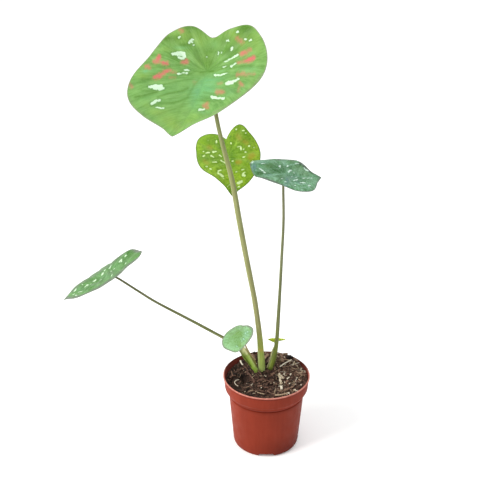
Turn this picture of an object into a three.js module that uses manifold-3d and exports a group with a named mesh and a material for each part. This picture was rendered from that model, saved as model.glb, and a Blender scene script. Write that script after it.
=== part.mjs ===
// A young potted caladium: a round nursery pot, potting mix, a tuber in the mix, five leaves
// on long bare stalks and one leaf that is just opening.
// Millimetres, +Z up. The origin is on the pot's axis in the plane it stands on, and the
// front of the plant is -Y.
import * as THREE from "three";
import { mergeVertices } from "three/addons/utils/BufferGeometryUtils.js";
import Module from "manifold-3d";

// Pot
const ROUND = 48; // facets round the pot and the mix
const POT_H = 94; // 10.5 cm nursery pot
const RIM_R = 52.5; // rim, outside
const WALL = 1.5;
const FLOOR_TOP = 5;
const FLOOR_UNDER = 3; // drainage channel under the floor
const PAD_R = 10; // middle of the underside, level with the foot
const FOOT_R = 36.8; // outer edge of the foot ring
const FOOT_IN = 34.6; // inner edge of the foot ring
const COLLAR_BOT = 78; // the straight collar ends here
const CREASE_Z = 69.8; // the chamfer under the collar meets the body here
// Outside of the pot, foot to lip: radius, height.
const POT_OUT = [
  [FOOT_R, 0],
  [38.2, 0.7],
  [39.3, 2.2],
  [40.1, 5],
  [40.3, 9],
  [45.6, CREASE_Z],
  [46.2, 70.6],
  [50.4, COLLAR_BOT],
  [51.7, 91],
  [RIM_R, 92.4],
  [RIM_R, POT_H - 0.4],
];
const LIP_IN = RIM_R - WALL; // inner edge of the lip
const NOTCHES = 4; // arches in the foot ring
// Half-width and height of an arch, as shares of the notch's size.
const ARCH = [[-1, -0.5], [1, -0.5], [1, 0], [0.67, 0.55], [0.33, 0.9], [0, 1], [-0.33, 0.9],
  [-0.67, 0.55], [-1, 0]];
const NOTCH_W = 18;
const NOTCH_H = 2;
const DRAINS = 8;
const DRAIN_R = 4;
const DRAIN_AT = 22;

// Potting mix
const GAP = 0.3; // kept between solids that touch
const MIX_Z = 87.7; // mean height of the surface
const MIX_RINGS = 11;
const CHIPS = 16; // loose bark chips on the surface
const CHIP_SEED = 41;
const HOLE_TOP = 99; // the stalks' holes are cut up to here, clear above the mix
const HOLE_DEEPER = 4; // and down into the tuber's bed
const HOLE_STEPS = 8;
const SUNK = 1; // how much deeper a lying piece reaches into the mix

// Tuber
const TUBER_AT = [-2, 13.5, 64];
const TUBER_R = 20;
const TUBER_H = 14; // half its height

// Leaves
// at: where the stalk joins the blade. azimuth, elevation: the way the tip points.
// roll: lifts the left half. left, right: distance from the joint to the edge, at the
// stations below, from the tip round to the notch. cup, side: fold of the two halves.
// tip, lobe: rise of the front and of the back lobes. wave: ripple of the edge.
const STATIONS = [0, 12, 32, 60, 95, 112, 130, 155, 180];
const BLADE_T = 0.8; // blade thickness, and 0.1 more along the middle
const BOSS = 1.8; // thickness at the joint
const LEAVES = {
  top: {
    at: [-67.3, 5, 474.6], azimuth: -105.6, elevation: -34, roll: 13.4,
    left: [105, 92, 96.5, 96, 76.5, 69.5, 64, 50.5, 41],
    right: [105, 91.5, 87, 85, 66.5, 62, 61.5, 55.5, 41],
    cup: 0.4, side: -0.07, tip: 0.25, lobe: 0.42, skew: 0.07, wave: 0.5,
    rings: 9, sectors: 56, ribs: 4,
  },
  back: {
    at: [-46, 65, 353.7], azimuth: -82, elevation: -28.5, roll: -0.7,
    left: [49, 43.5, 40, 38, 38, 37, 36, 37, 21],
    right: [49, 40.5, 37, 39.5, 37, 39, 40, 30.5, 21],
    cup: 0.23, side: -0.2, tip: -0.3, lobe: 0.42, skew: -0.3, wave: 0.3,
    rings: 7, sectors: 48, ribs: 4,
  },
  right: {
    at: [17.6, -5, 358.4], azimuth: 20, elevation: -12, roll: 5.3,
    left: [45, 36.5, 36.5, 40.5, 40, 41.8, 43, 39, 36],
    right: [45, 40, 37, 40, 38, 37, 36.5, 38, 36],
    cup: 0.49, side: -0.5, tip: 0, lobe: -0.1, skew: 0.11, wave: 0.3,
    rings: 7, sectors: 48, ribs: 4,
  },
  left: {
    at: [-183.6, 8, 230.8], azimuth: 195, elevation: -29.3, roll: 14,
    left: [63.5, 58, 52.5, 41.5, 36.5, 36, 38, 48, 40],
    right: [63.5, 58, 54.5, 53, 54, 50.3, 44.5, 38, 40],
    cup: 0.22, side: -0.35, tip: 0.02, lobe: 0.08, skew: 0.04, wave: 0.3,
    rings: 7, sectors: 48, ribs: 4,
  },
  small: {
    at: [-31.5, -5, 155.9], azimuth: -136, elevation: -30, roll: 10.6,
    left: [27, 27, 28, 22.5, 20, 18.7, 17, 13.5, 12],
    right: [27, 27, 25, 22, 18, 16, 14, 11, 12],
    cup: 0, side: -0.05, tip: 0, lobe: -0.04, skew: -0.16, wave: 0.15,
    rings: 5, sectors: 32, ribs: 4,
  },
  bud: {
    at: [10.6, 24, 125.5], azimuth: -20, elevation: 17, roll: -26,
    left: [14.5, 12, 9, 8, 7.5, 7.5, 8, 8.5, 6.5],
    right: [14.5, 12, 9, 8, 7.5, 7.5, 8, 8.5, 6.5],
    cup: 0.6, side: 0, tip: 0, lobe: 0.5, skew: 0, wave: 0,
    rings: 4, sectors: 24, ribs: 6,
  },
};
// Stalks: centre line from the tuber up to the blade, and the radius at each point.
const STALKS = {
  top: {
    line: [[-5.5, 14, 78.2, 3.8], [-6, 13, 90, 4], [-7.2, 12, 112, 3.3], [-9, 12, 140, 3],
      [-14, 12, 191, 2.9], [-23, 11, 244, 2.8], [-32, 10, 296, 2.7], [-40.3, 9, 346, 2.5],
      [-51.6, 8, 395, 2.3], [-57, 8, 426, 2.2]],
    neck: 10, tipR: 1.9, sides: 10, steps: 30,
  },
  back: {
    line: [[-5, 22, 77.3, 2.2], [-5, 22, 86, 2.2], [-7, 28, 125, 1.9], [-15, 37, 176, 1.8],
      [-23, 45, 227, 1.8], [-33, 53, 276, 1.7], [-40, 60, 312, 1.6]],
    neck: 6, tipR: 1.2, sides: 8, steps: 30,
  },
  right: {
    line: [[2.2, 13, 78, 3], [3, 13, 89, 3.3], [8, 12, 106, 3], [12.6, 10, 136, 2.1],
      [15, 6, 194, 1.7], [16, 3, 249, 1.5], [17, -1, 301, 1.3], [16, -4, 343, 1.2]],
    neck: 5, tipR: 1, sides: 8, steps: 24,
  },
  left: {
    line: [[-11.5, 8, 76.9, 2.6], [-12.6, 8.5, 92.5, 3.3], [-16, 8.5, 99.8, 3.9],
      [-20.4, 8.3, 107.5, 4.3], [-24.4, 8, 114.8, 4.1], [-28.5, 7.5, 122.2, 3.7],
      [-33.9, 7, 129.1, 2.8], [-40.5, 6.4, 135.3, 2], [-53, 6, 143.3, 1.6],
      [-86, 6, 164, 1.4], [-122, 7, 186, 1.2], [-153, 7, 207, 1.1], [-173, 7, 219.5, 1]],
    neck: 3, tipR: 0.9, sides: 8, steps: 30,
  },
  small: {
    line: [[-9.5, 18.6, 77, 0.9], [-10.5, 18, 88, 1], [-14, 15, 104, 0.9], [-20, 9, 118, 0.8],
      [-26, 2, 135, 0.8]],
    neck: 4, tipR: 0.7, sides: 6, steps: 14,
  },
  bud: {
    line: [[-0.2, 17.5, 78, 1], [0.2, 17.5, 89.6, 1], [4.1, 19, 103.5, 0.9],
      [7.4, 21.5, 113.5, 0.8]],
    neck: 3, tipR: 0.7, sides: 6, steps: 10,
  },
};

// Helpers
const wasm = await Module();
wasm.setup();
const rad = (deg) => (deg * Math.PI) / 180;

function geometryOf(points, faces) {
  const geometry = new THREE.BufferGeometry();
  geometry.setAttribute("position", new THREE.Float32BufferAttribute(points.flat(), 3));
  geometry.setIndex(faces.flat());
  return geometry;
}

// The same shape with shared points only, and no triangle that has shrunk to a line.
function welded(geometry) {
  const bare = geometry.clone();
  for (const name of Object.keys(bare.attributes)) {
    if (name !== "position") bare.deleteAttribute(name);
  }
  const merged = mergeVertices(bare, 1e-4);
  const index = Array.from(merged.index.array);
  const kept = [];
  for (let i = 0; i < index.length; i += 3) {
    const [a, b, c] = index.slice(i, i + 3);
    if (a !== b && b !== c && c !== a) kept.push(a, b, c);
  }
  merged.setIndex(kept);
  return merged;
}

function solidOf(geometry) {
  const shape = welded(geometry);
  return new wasm.Manifold(new wasm.Mesh({
    numProp: 3,
    vertProperties: new Float32Array(shape.getAttribute("position").array),
    triVerts: new Uint32Array(shape.index.array),
  }));
}

function geometryFrom(solid) {
  const mesh = solid.getMesh();
  const geometry = new THREE.BufferGeometry();
  geometry.setAttribute("position", new THREE.Float32BufferAttribute(mesh.vertProperties, 3));
  geometry.setIndex(Array.from(mesh.triVerts));
  return geometry;
}

// A turned shape about Z from a profile of [radius, height] that starts and ends on the axis.
function turned(profile, around) {
  const points = profile.map(([r, z]) => new THREE.Vector2(r, z));
  return welded(new THREE.LatheGeometry(points, around).rotateX(Math.PI / 2));
}

// Moves the points of a geometry: move(x, y, z) gives the new place.
function moved(geometry, move) {
  const at = geometry.getAttribute("position");
  for (let i = 0; i < at.count; i++) at.setXYZ(i, ...move(at.getX(i), at.getY(i), at.getZ(i)));
  return geometry;
}

// Linear interpolation in a list of [x, value] pairs.
function along(list, x) {
  let k = 0;
  while (k + 2 < list.length && list[k + 1][0] < x) k++;
  const [x0, v0] = list[k];
  const [x1, v1] = list[k + 1];
  return v0 + ((v1 - v0) * (x - x0)) / (x1 - x0);
}

// Inside radius of the pot wall at a height.
const WALL_IN = POT_OUT.slice(4, 10).map(([r, z]) => [z, r - WALL]);
const wallIn = (z) => along(WALL_IN, z);

// Blades
function poseOf(leaf) {
  const a = rad(leaf.azimuth);
  const e = rad(leaf.elevation);
  const r = rad(leaf.roll);
  const T = new THREE.Vector3(Math.cos(e) * Math.cos(a), Math.cos(e) * Math.sin(a), Math.sin(e));
  const level = new THREE.Vector3(-Math.sin(a), Math.cos(a), 0);
  const up = T.clone().cross(level);
  const S = level.clone().multiplyScalar(Math.cos(r)).addScaledVector(up, Math.sin(r));
  const N = T.clone().cross(S);
  return { T, S, N, at: new THREE.Vector3(...leaf.at) };
}

// Smooth curve through the stations of one half.
function edgeDistance(list, deg) {
  let i = 0;
  while (i + 2 < STATIONS.length && STATIONS[i + 1] < deg) i++;
  const slope = (k) => {
    const a = Math.max(k - 1, 0);
    const b = Math.min(k + 1, STATIONS.length - 1);
    return (list[b] - list[a]) / (STATIONS[b] - STATIONS[a]);
  };
  const h = STATIONS[i + 1] - STATIONS[i];
  const f = (deg - STATIONS[i]) / h;
  const m0 = slope(i) * h;
  const m1 = slope(i + 1) * h;
  return (2 * f ** 3 - 3 * f ** 2 + 1) * list[i] + (f ** 3 - 2 * f ** 2 + f) * m0
    + (-2 * f ** 3 + 3 * f ** 2) * list[i + 1] + (f ** 3 - f ** 2) * m1;
}

// Flat position in the blade: u towards the tip, v to the left. Rays leave the joint along
// the midrib and bend out to the edge, as the side veins do.
function flatPoint(leaf, theta, rho) {
  const deg = Math.abs(theta) * (180 / Math.PI);
  const R = edgeDistance(theta >= 0 ? leaf.left : leaf.right, deg);
  const bow = 0.22 * R * rho * (1 - rho) * Math.sin(2 * Math.abs(theta));
  return [rho * R * Math.cos(theta) + bow, rho * R * Math.sin(theta)];
}

// Height of the bent blade over its own plane.
function bend(leaf, u, v, theta, rho) {
  const L = leaf.left[0];
  const x = u / L;
  const y = v / L;
  let w = leaf.cup * (Math.sqrt(y * y + 0.01) - 0.1) + leaf.side * y * y;
  w += (x > 0 ? leaf.tip : leaf.lobe) * x * x + leaf.skew * x * y;
  return w * L + leaf.wave * Math.sin(9 * theta + 0.6) * rho ** 3;
}

function blade(leaf) {
  const { T, S, N, at } = poseOf(leaf);
  const { rings, sectors, ribs } = leaf;
  const top = [];
  const under = [];
  const put = (theta, rho, sector) => {
    const [u, v] = flatPoint(leaf, theta, rho);
    const w = bend(leaf, u, v, theta, rho);
    // Ribs stand out under the blade, and the blade swells a little between them on top.
    const onRib = sector % ribs === 0;
    const swell = onRib ? 0 : 0.25 * Math.sin(Math.PI * rho);
    const rib = onRib ? 0.9 * (1 - rho) : 0.2 * (1 - rho);
    const thick = rho === 0 ? BOSS : BLADE_T + rib;
    const p = at.clone().addScaledVector(T, u).addScaledVector(S, v).addScaledVector(N, w);
    top.push(p.clone().addScaledVector(N, swell).toArray());
    under.push(p.clone().addScaledVector(N, swell * 0.6 - thick).toArray());
  };
  put(0, 0, 0);
  for (let k = 1; k <= rings; k++) {
    for (let i = 0; i < sectors; i++) {
      put((2 * Math.PI * (i - sectors / 2)) / sectors, k / rings, i - sectors / 2);
    }
  }
  const faces = [];
  const n = top.length;
  const id = (k, i) => 1 + (k - 1) * sectors + ((i + sectors) % sectors);
  const both = (a, b, c) => faces.push([a, b, c], [n + a, n + c, n + b]);
  for (let i = 0; i < sectors; i++) {
    both(0, id(1, i), id(1, i + 1));
    for (let k = 1; k < rings; k++) {
      both(id(k, i), id(k + 1, i), id(k + 1, i + 1));
      both(id(k, i), id(k + 1, i + 1), id(k, i + 1));
    }
    const a = id(rings, i);
    const b = id(rings, i + 1);
    faces.push([a, n + a, n + b], [a, n + b, b]);
  }
  return geometryOf([...top, ...under], faces);
}

// Stalks
// Centre line and radii of a stalk: its points, then a neck square to the blade.
function stalkPath(name) {
  const { line, neck, tipR } = STALKS[name];
  const { N, at } = poseOf(LEAVES[name]);
  const end = at.clone().addScaledVector(N, -(BOSS + GAP));
  const before = end.clone().addScaledVector(N, -neck);
  const points = line.map(([x, y, z]) => new THREE.Vector3(x, y, z));
  const radii = line.map((p) => p[3]);
  points.push(before, end);
  radii.push(tipR * 0.6 + radii[radii.length - 1] * 0.4, tipR);
  return { curve: new THREE.CatmullRomCurve3(points, false, "centripetal"), radii };
}

// A closed stalk along a curve, whose rings then take the radius that radiusAt(u) gives at
// the share u of its length.
function stalk(curve, radiusAt, sides, steps) {
  const section = new THREE.Shape(Array.from({ length: sides }, (_, j) => {
    const a = (2 * Math.PI * j) / sides;
    return new THREE.Vector2(Math.cos(a), Math.sin(a));
  }));
  const tube = welded(new THREE.ExtrudeGeometry(section, {
    steps, extrudePath: curve, bevelEnabled: false, curveSegments: 1,
  }));
  const centres = curve.getSpacedPoints(steps);
  return moved(tube, (x, y, z) => {
    const p = new THREE.Vector3(x, y, z);
    let k = 0;
    centres.forEach((c, i) => {
      if (p.distanceTo(c) < p.distanceTo(centres[k])) k = i;
    });
    return p.sub(centres[k]).multiplyScalar(radiusAt(k / steps)).add(centres[k]).toArray();
  });
}

function radiusOf(curve, radii) {
  const last = radii.length - 1;
  return (u) => {
    const x = curve.getUtoTmapping(u) * last;
    const i = Math.min(Math.floor(x), last - 1);
    return radii[i] + (radii[i + 1] - radii[i]) * (x - i);
  };
}

// The plain hole that a stalk stands in: from the tuber's bed to clear above the mix.
function stalkHole(name) {
  const { curve, radii } = stalkPath(name);
  const { sides } = STALKS[name];
  let top = 0;
  while (curve.getPoint(top).z < HOLE_TOP) top += 0.005;
  const points = [];
  const widths = [];
  for (let k = 0; k <= HOLE_STEPS; k++) {
    const x = ((top * k) / HOLE_STEPS) * (radii.length - 1);
    const i = Math.floor(x);
    points.push(curve.getPoint((top * k) / HOLE_STEPS));
    widths.push(radii[i] + (radii[i + 1] - radii[i]) * (x - i));
  }
  points[0].addScaledVector(curve.getTangent(0), -HOLE_DEEPER);
  const around = 1 / Math.cos(Math.PI / sides); // so that the flats clear the stalk's corners
  const path = new THREE.CatmullRomCurve3(points, false, "centripetal");
  const width = radiusOf(path, widths);
  return stalk(path, (u) => (width(u) + GAP) * around, sides, HOLE_STEPS);
}

// Tuber
// A flattened corm with growth rings and a few eyes.
function tuber(extra) {
  const profile = [];
  const rows = 11;
  for (let k = 0; k <= rows; k++) {
    const a = -Math.PI / 2 + (Math.PI * k) / rows;
    const ring = k % 2 ? 0.4 : -0.2;
    const r = k === 0 || k === rows ? 0 : (TUBER_R + extra) * Math.cos(a) + ring;
    profile.push([r, (TUBER_H + extra) * Math.sin(a)]);
  }
  const eye = (x, y, z) => (Math.abs(z) > 11 ? 0 : 0.5 * Math.sin(0.5 * x + 1) * Math.cos(0.45 * y));
  return moved(turned(profile, 20), (x, y, z) => [x, y, z + eye(x, y, z)]).translate(...TUBER_AT);
}

// Pot
function pot() {
  const inside = WALL_IN.map(([z, r]) => [r, z]).reverse();
  const profile = [
    [0, 0],
    [PAD_R, 0],
    [PAD_R + 0.6, FLOOR_UNDER],
    [FOOT_IN, FLOOR_UNDER],
    [FOOT_IN + 0.3, 0],
    ...POT_OUT,
    [RIM_R - 0.4, POT_H],
    [LIP_IN + 0.3, POT_H],
    [LIP_IN, POT_H - 0.5],
    ...inside,
    [wallIn(9) - 0.8, FLOOR_TOP],
    [0, FLOOR_TOP],
  ];
  let solid = solidOf(turned(profile, ROUND));
  const arch = new THREE.Shape(ARCH.map(([x, z]) => new THREE.Vector2(x * (NOTCH_W / 2), z * NOTCH_H)));
  for (let i = 0; i < NOTCHES; i++) {
    const cutter = new THREE.ExtrudeGeometry(arch, { depth: 14, bevelEnabled: false, steps: 1 })
      .rotateX(Math.PI / 2).translate(0, -28, 0).rotateZ((2 * Math.PI * i) / NOTCHES);
    solid = solid.subtract(solidOf(cutter));
  }
  for (let i = 0; i < DRAINS; i++) {
    const hole = new THREE.CylinderGeometry(DRAIN_R, DRAIN_R, 4, 12).rotateX(Math.PI / 2)
      .translate(DRAIN_AT, 0, 4).rotateZ((2 * Math.PI * (i + 0.5)) / DRAINS);
    solid = solid.subtract(solidOf(hole));
  }
  return geometryFrom(solid);
}

// Potting mix
// Height of the surface: higher at the back right and round the stalks, a hollow at the
// left, lumps all over.
function mixHeight(x, y) {
  const dip = (px, py, r, d) => d * Math.exp(-((x - px) ** 2 + (y - py) ** 2) / (r * r));
  return MIX_Z + 0.045 * x + 0.045 * y + dip(16, 44, 28, 3.4) + dip(-5, 9, 15, 3.2)
    - dip(-27, 7, 7, 3.2) - dip(1, 37, 6, 2)
    + 0.7 * Math.sin(0.31 * x + 1.3) * Math.sin(0.27 * y + 0.4)
    + 0.45 * Math.sin(0.55 * x - 0.42 * y + 2) + 0.35 * Math.sin(0.9 * y + 0.35 * x);
}

// A stick, strip or chip lying on the mix from a to b, w wide and t high, its foot sunk in.
function piece(a, b, w, t, lift = 0) {
  const A = new THREE.Vector3(a[0], a[1], mixHeight(...a) + lift);
  const B = new THREE.Vector3(b[0], b[1], mixHeight(...b) + lift);
  const d = B.clone().sub(A);
  const across = new THREE.Vector3(0, 0, 1).cross(d).normalize();
  const upward = d.clone().cross(across).normalize();
  const turn = new THREE.Matrix4().makeBasis(d.clone().normalize(), across, upward);
  return solidOf(new THREE.BoxGeometry(d.length(), w, t + SUNK).translate(0, 0, -SUNK / 2)
    .applyMatrix4(turn).translate(...A.add(B).multiplyScalar(0.5).toArray()));
}

function seeded(seed) {
  let s = seed;
  return () => {
    s = (s * 16807) % 2147483647;
    return s / 2147483647;
  };
}

function pottingMix() {
  const outer = (z) => wallIn(z) - GAP;
  const low = FLOOR_TOP + GAP;
  const profile = [[0, low], [outer(9) - 1.2, low], [outer(9), 9], [outer(CREASE_Z), CREASE_Z],
    [outer(70.6), 70.6], [outer(COLLAR_BOT), COLLAR_BOT]];
  const edge = outer(84);
  for (let k = MIX_RINGS; k >= 0; k--) profile.push([(edge * k) / MIX_RINGS, POT_H]);
  const surface = (x, y, z) => [x, y, z > POT_H - 1 ? mixHeight(x, y) : z];
  let solid = solidOf(moved(turned(profile, ROUND), surface));
  const lying = [
    [[15.6, 6], [16.8, -20], 2.6, 2.2, 0.5], // broken stalk
    [[18, 23], [30, 33], 1.4, 1.4, 0.8], // straw
    [[-31, 36], [-27.5, 28], 1.6, 1.2, 0.5], // split stick
    [[-11, -14], [-4.5, -15.5], 3, 2, 0.4], // red chip
    [[-22, 4], [-15, -6], 3, 1.8, 0.5], // strip of bark
    [[11.5, -37], [24, -38], 3, 1.8, 0.4], // tan chip
    [[21.5, 38], [30, 34], 6, 3.6, 0.2], // dark lump
    [[-39, -5], [-36, -12], 1.2, 1.2, 0.5], // root
  ];
  for (const [a, b, w, t, lift] of lying) solid = solid.add(piece(a, b, w, t, lift));
  const random = seeded(CHIP_SEED);
  let placed = 0;
  while (placed < CHIPS) {
    const a = random() * 2 * Math.PI;
    const r = 12 + 30 * Math.sqrt(random());
    const turn = random() * Math.PI;
    const len = 4 + 5 * random();
    const w = 2 + 2.5 * random();
    const x = r * Math.cos(a);
    const y = r * Math.sin(a);
    if (Math.hypot(x + 2, y - 13) < 14) continue;
    const dx = (len / 2) * Math.cos(turn);
    const dy = (len / 2) * Math.sin(turn);
    solid = solid.add(piece([x - dx, y - dy], [x + dx, y + dy], w, 1.8, 0.3));
    placed++;
  }
  for (const name of Object.keys(STALKS)) solid = solid.subtract(solidOf(stalkHole(name)));
  return geometryFrom(solid.subtract(solidOf(tuber(GAP))));
}

// Assembly
const group = new THREE.Group();
function add(name, geometry, color, roughness) {
  geometry.computeVertexNormals();
  const material = new THREE.MeshStandardMaterial({ color, roughness, flatShading: true });
  const mesh = new THREE.Mesh(geometry, material);
  mesh.name = name;
  group.add(mesh);
}

for (const [name, { sides, steps }] of Object.entries(STALKS)) {
  const { curve, radii } = stalkPath(name);
  add(`stalk_${name}`, stalk(curve, radiusOf(curve, radii), sides, steps), 0x8f9a4a, 0.5);
}
add("pot", pot(), 0x9a3c2c, 0.45);
add("potting_mix", pottingMix(), 0x3a2a22, 0.95);
add("tuber", tuber(0), 0x7a5a3c, 0.9);
const BLADE_COLORS = {
  top: 0x6aa54a, back: 0x8fbf2e, right: 0x4f8f68, left: 0x4d9350, small: 0x9dc79a, bud: 0xb5c832,
};
for (const [name, leaf] of Object.entries(LEAVES)) {
  add(`blade_${name}`, blade(leaf), BLADE_COLORS[name], 0.5);
}

export default group;
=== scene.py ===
# %% [markdown]
# # A young caladium in its nursery pot
# The solid model is loaded first and stays as it is: it gives every piece its place. Each
# piece is then made again in finer form round it, and the plain solid is hidden.
# Lengths are written in millimetres and multiplied by MM, because Blender works in metres.

# %% Load the fixed frame
import math
import random

import bpy
import numpy as np
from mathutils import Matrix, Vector, noise


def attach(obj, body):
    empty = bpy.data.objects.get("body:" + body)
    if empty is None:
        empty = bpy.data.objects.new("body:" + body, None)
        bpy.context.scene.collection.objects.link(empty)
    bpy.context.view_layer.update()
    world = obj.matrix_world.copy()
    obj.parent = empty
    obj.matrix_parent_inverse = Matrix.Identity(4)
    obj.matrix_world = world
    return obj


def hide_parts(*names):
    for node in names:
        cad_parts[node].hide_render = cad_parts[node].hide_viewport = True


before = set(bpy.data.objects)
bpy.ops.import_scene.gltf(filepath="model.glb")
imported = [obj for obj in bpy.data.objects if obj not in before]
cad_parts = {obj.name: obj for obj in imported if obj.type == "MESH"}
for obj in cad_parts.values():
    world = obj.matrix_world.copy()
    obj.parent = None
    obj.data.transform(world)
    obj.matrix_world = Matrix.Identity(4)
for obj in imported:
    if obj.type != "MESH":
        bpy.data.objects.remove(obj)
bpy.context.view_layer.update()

MM = 0.001
print("nodes:", sorted(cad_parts))

# %% [markdown]
# ## Camera
# The camera stands where the photographer stood: 1.4 m away, looking 26.45 degrees down,
# with an 85 mm lens. Its place was found from the ellipses of the pot's rim and foot, so
# that a spot seen at a pixel of the picture can be put on the leaf that carries it.

# %% Camera
CAMERA_AT = Vector((-0.0321, -1.1579, 0.8517))
LOOK_DOWN = math.radians(26.45)
LENS, SENSOR, FRAME_PX = 85.0, 36.0, 480
bpy.ops.object.camera_add(location=CAMERA_AT, rotation=(math.pi / 2 - LOOK_DOWN, 0, 0))
camera = bpy.context.object
camera.data.lens, camera.data.sensor_width = LENS, SENSOR
bpy.context.scene.camera = camera
FOCAL_PX = LENS / SENSOR * FRAME_PX
LOOK = Vector((0, math.cos(LOOK_DOWN), -math.sin(LOOK_DOWN)))
LOOK_UP = Vector((0, math.sin(LOOK_DOWN), math.cos(LOOK_DOWN)))
print("camera stands at", tuple(round(x, 3) for x in CAMERA_AT))


# %% From a pixel to the object and back
def ray_through(px, py):
    """The direction from the camera through a pixel of the 480 x 480 picture."""
    half = FRAME_PX / 2
    return (LOOK * FOCAL_PX + Vector((1, 0, 0)) * (px - half) + LOOK_UP * (half - py)).normalized()


def pixels_of(points):
    """Where points (n x 3, metres) fall in the picture, as an n x 2 array."""
    away = points - np.array(CAMERA_AT)
    depth = away @ np.array(LOOK)
    right, up = away[:, 0], away @ np.array(LOOK_UP)
    half = FRAME_PX / 2
    return np.stack([half + FOCAL_PX * right / depth, half - FOCAL_PX * up / depth], 1)


def seen_at_height(px, py, z):
    """The point (mm) at height z (mm) that is seen at a pixel."""
    ray = ray_through(px, py)
    return (CAMERA_AT + ray * ((z * MM - CAMERA_AT.z) / ray.z)) / MM


middle = seen_at_height(FRAME_PX / 2, FRAME_PX / 2, 0)
print("the middle of the picture shows the floor at", [round(x) for x in middle], "mm")

# %% [markdown]
# ## Light and floor
# The picture is lit by a large soft window from the left and a little from the front, on
# white. A bright, plain world gives the fill, a broad lamp stands for the window, and a
# weaker one above and behind shines through the leaves. A pale floor takes the soft shadow.

# %% Light and floor
WORLD_LIGHT = 0.78
LAMP_SIZE = 1.0
FAR_LAMP_WATTS, FAR_LAMP_SPREAD, FAR_LAMP_SOFT = 26, math.radians(110), 0.5
FLOOR_SIZE = 14
# The floor glows a little, which keeps the shadow on it pale.
FLOOR_LOOK = {"Base Color": (0.96, 0.96, 0.96, 1), "Roughness": 0.9, "Specular IOR Level": 0.1,
              "Emission Color": (1, 1, 1, 1), "Emission Strength": 0.1}
scene = bpy.context.scene
scene.view_settings.view_transform = "Standard"
scene.world = bpy.data.worlds.new("white studio")
scene.world.use_nodes = True
background = scene.world.node_tree.nodes["Background"].inputs
background["Color"].default_value = (1, 1, 1, 1)
background["Strength"].default_value = WORLD_LIGHT


def soft_lamp(name, at, towards, watts, colour):
    turn = (Vector(towards) - Vector(at)).to_track_quat("-Z", "Y").to_euler()
    bpy.ops.object.light_add(type="AREA", location=at, rotation=turn)
    lamp = bpy.context.object
    lamp.name = name
    lamp.data.shape = "SQUARE"
    lamp.data.size, lamp.data.energy, lamp.data.color = LAMP_SIZE, watts, colour


soft_lamp("window", (-1.5, -0.7, 1.3), (0, 0, 0.25), 40, (1, 0.985, 0.95))
soft_lamp("top", (0.5, 0.7, 1.9), (0, 0, 0.3), 10, (0.96, 0.98, 1))
# A wide spot far behind the plant keeps the floor white up to the top of the picture.
bpy.ops.object.light_add(type="SPOT", location=(0, 3, 2))
far_lamp = bpy.context.object
far_lamp.name = "far floor"
far_lamp.data.energy, far_lamp.data.spot_size = FAR_LAMP_WATTS, FAR_LAMP_SPREAD
far_lamp.data.spot_blend, far_lamp.data.shadow_soft_size = 1.0, FAR_LAMP_SOFT

bpy.ops.mesh.primitive_plane_add(size=FLOOR_SIZE)
floor = bpy.context.object
floor.name = "floor"
floor_finish = bpy.data.materials.new("floor")
floor_finish.use_nodes = True
for label, value in FLOOR_LOOK.items():
    floor_finish.node_tree.nodes["Principled BSDF"].inputs[label].default_value = value
floor.data.materials.append(floor_finish)
print("lamps: window, top, far floor; floor:", FLOOR_SIZE, "m")

# %% [markdown]
# ## Small helpers
# An operator acts on everything that is selected, so every step starts from one piece
# picked alone. Leaves, stalks and the mix all start as a flat grid primitive: its columns
# are sent round an axis and its rows along it, the two seams are merged, and what was a
# square net is a leaf or a tube that keeps clean rows of faces.

# %% Selecting and changing a piece
def drop_selection():
    for other in bpy.context.selected_objects:
        other.select_set(False)


def pick(piece):
    drop_selection()
    piece.select_set(True)
    bpy.context.view_layer.objects.active = piece


def in_edit_mode(piece, work):
    pick(piece)
    bpy.ops.object.mode_set(mode="EDIT")
    bpy.ops.mesh.select_all(action="SELECT")
    work()
    bpy.ops.object.mode_set(mode="OBJECT")


def apply_modifier(piece, kind, **settings):
    pick(piece)
    modifier = piece.modifiers.new(kind.lower(), kind)
    for name, value in settings.items():
        setattr(modifier, name, value)
    bpy.ops.object.modifier_apply(modifier=modifier.name)


print("helpers: drop_selection, pick, in_edit_mode, apply_modifier")


# %% Points and marks
def points_of(piece):
    flat = np.empty(len(piece.data.vertices) * 3)
    piece.data.vertices.foreach_get("co", flat)
    return flat.reshape(-1, 3)


def move_points(piece, points):
    piece.data.vertices.foreach_set("co", np.ascontiguousarray(points, float).ravel())
    piece.data.update()


def mark(piece, name, values):
    """Keeps one number for every point of a piece, which its material can read."""
    data = piece.data.attributes.get(name) or piece.data.attributes.new(name, "FLOAT", "POINT")
    data.data.foreach_set("value", np.ascontiguousarray(values, np.float32))


def marks(piece, name):
    values = np.empty(len(piece.data.vertices), np.float32)
    piece.data.attributes[name].data.foreach_get("value", values)
    return values.astype(float)


print("helpers: points_of, move_points, mark, marks")


# %% Handing a piece over
def place_piece(piece, finish, slot_name, *nodes, smooth):
    """Gives a piece its finish and body, hides the solids it stands for; slot_name is not used."""
    piece.data.materials.clear()
    piece.data.materials.append(finish)
    pick(piece)
    bpy.ops.object.shade_smooth_by_angle(angle=math.radians(smooth))
    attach(piece, "root")
    if nodes:
        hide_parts(*nodes)
    faces = sum(len(p.vertices) - 2 for p in piece.data.polygons)
    print(f"{piece.name}: {faces} triangles")


print("helper: place_piece")


# %% A grid wrapped round
def wrapped_grid(name, around, along, place):
    """A grid primitive, its points sent to place(turn -1..1, out 0..1), its seams merged."""
    drop_selection()
    bpy.ops.mesh.primitive_grid_add(x_subdivisions=around, y_subdivisions=along, size=2)
    piece = bpy.context.object
    piece.name = piece.data.name = name
    flat = points_of(piece)
    turn, out = flat[:, 0], (flat[:, 1] + 1) / 2
    mark(piece, "turn", turn)
    mark(piece, "out", out)
    move_points(piece, place(turn, out))

    def close():
        bpy.ops.mesh.remove_doubles(threshold=1e-6)
        bpy.ops.mesh.normals_make_consistent(inside=False)
    in_edit_mode(piece, close)
    return piece


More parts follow.
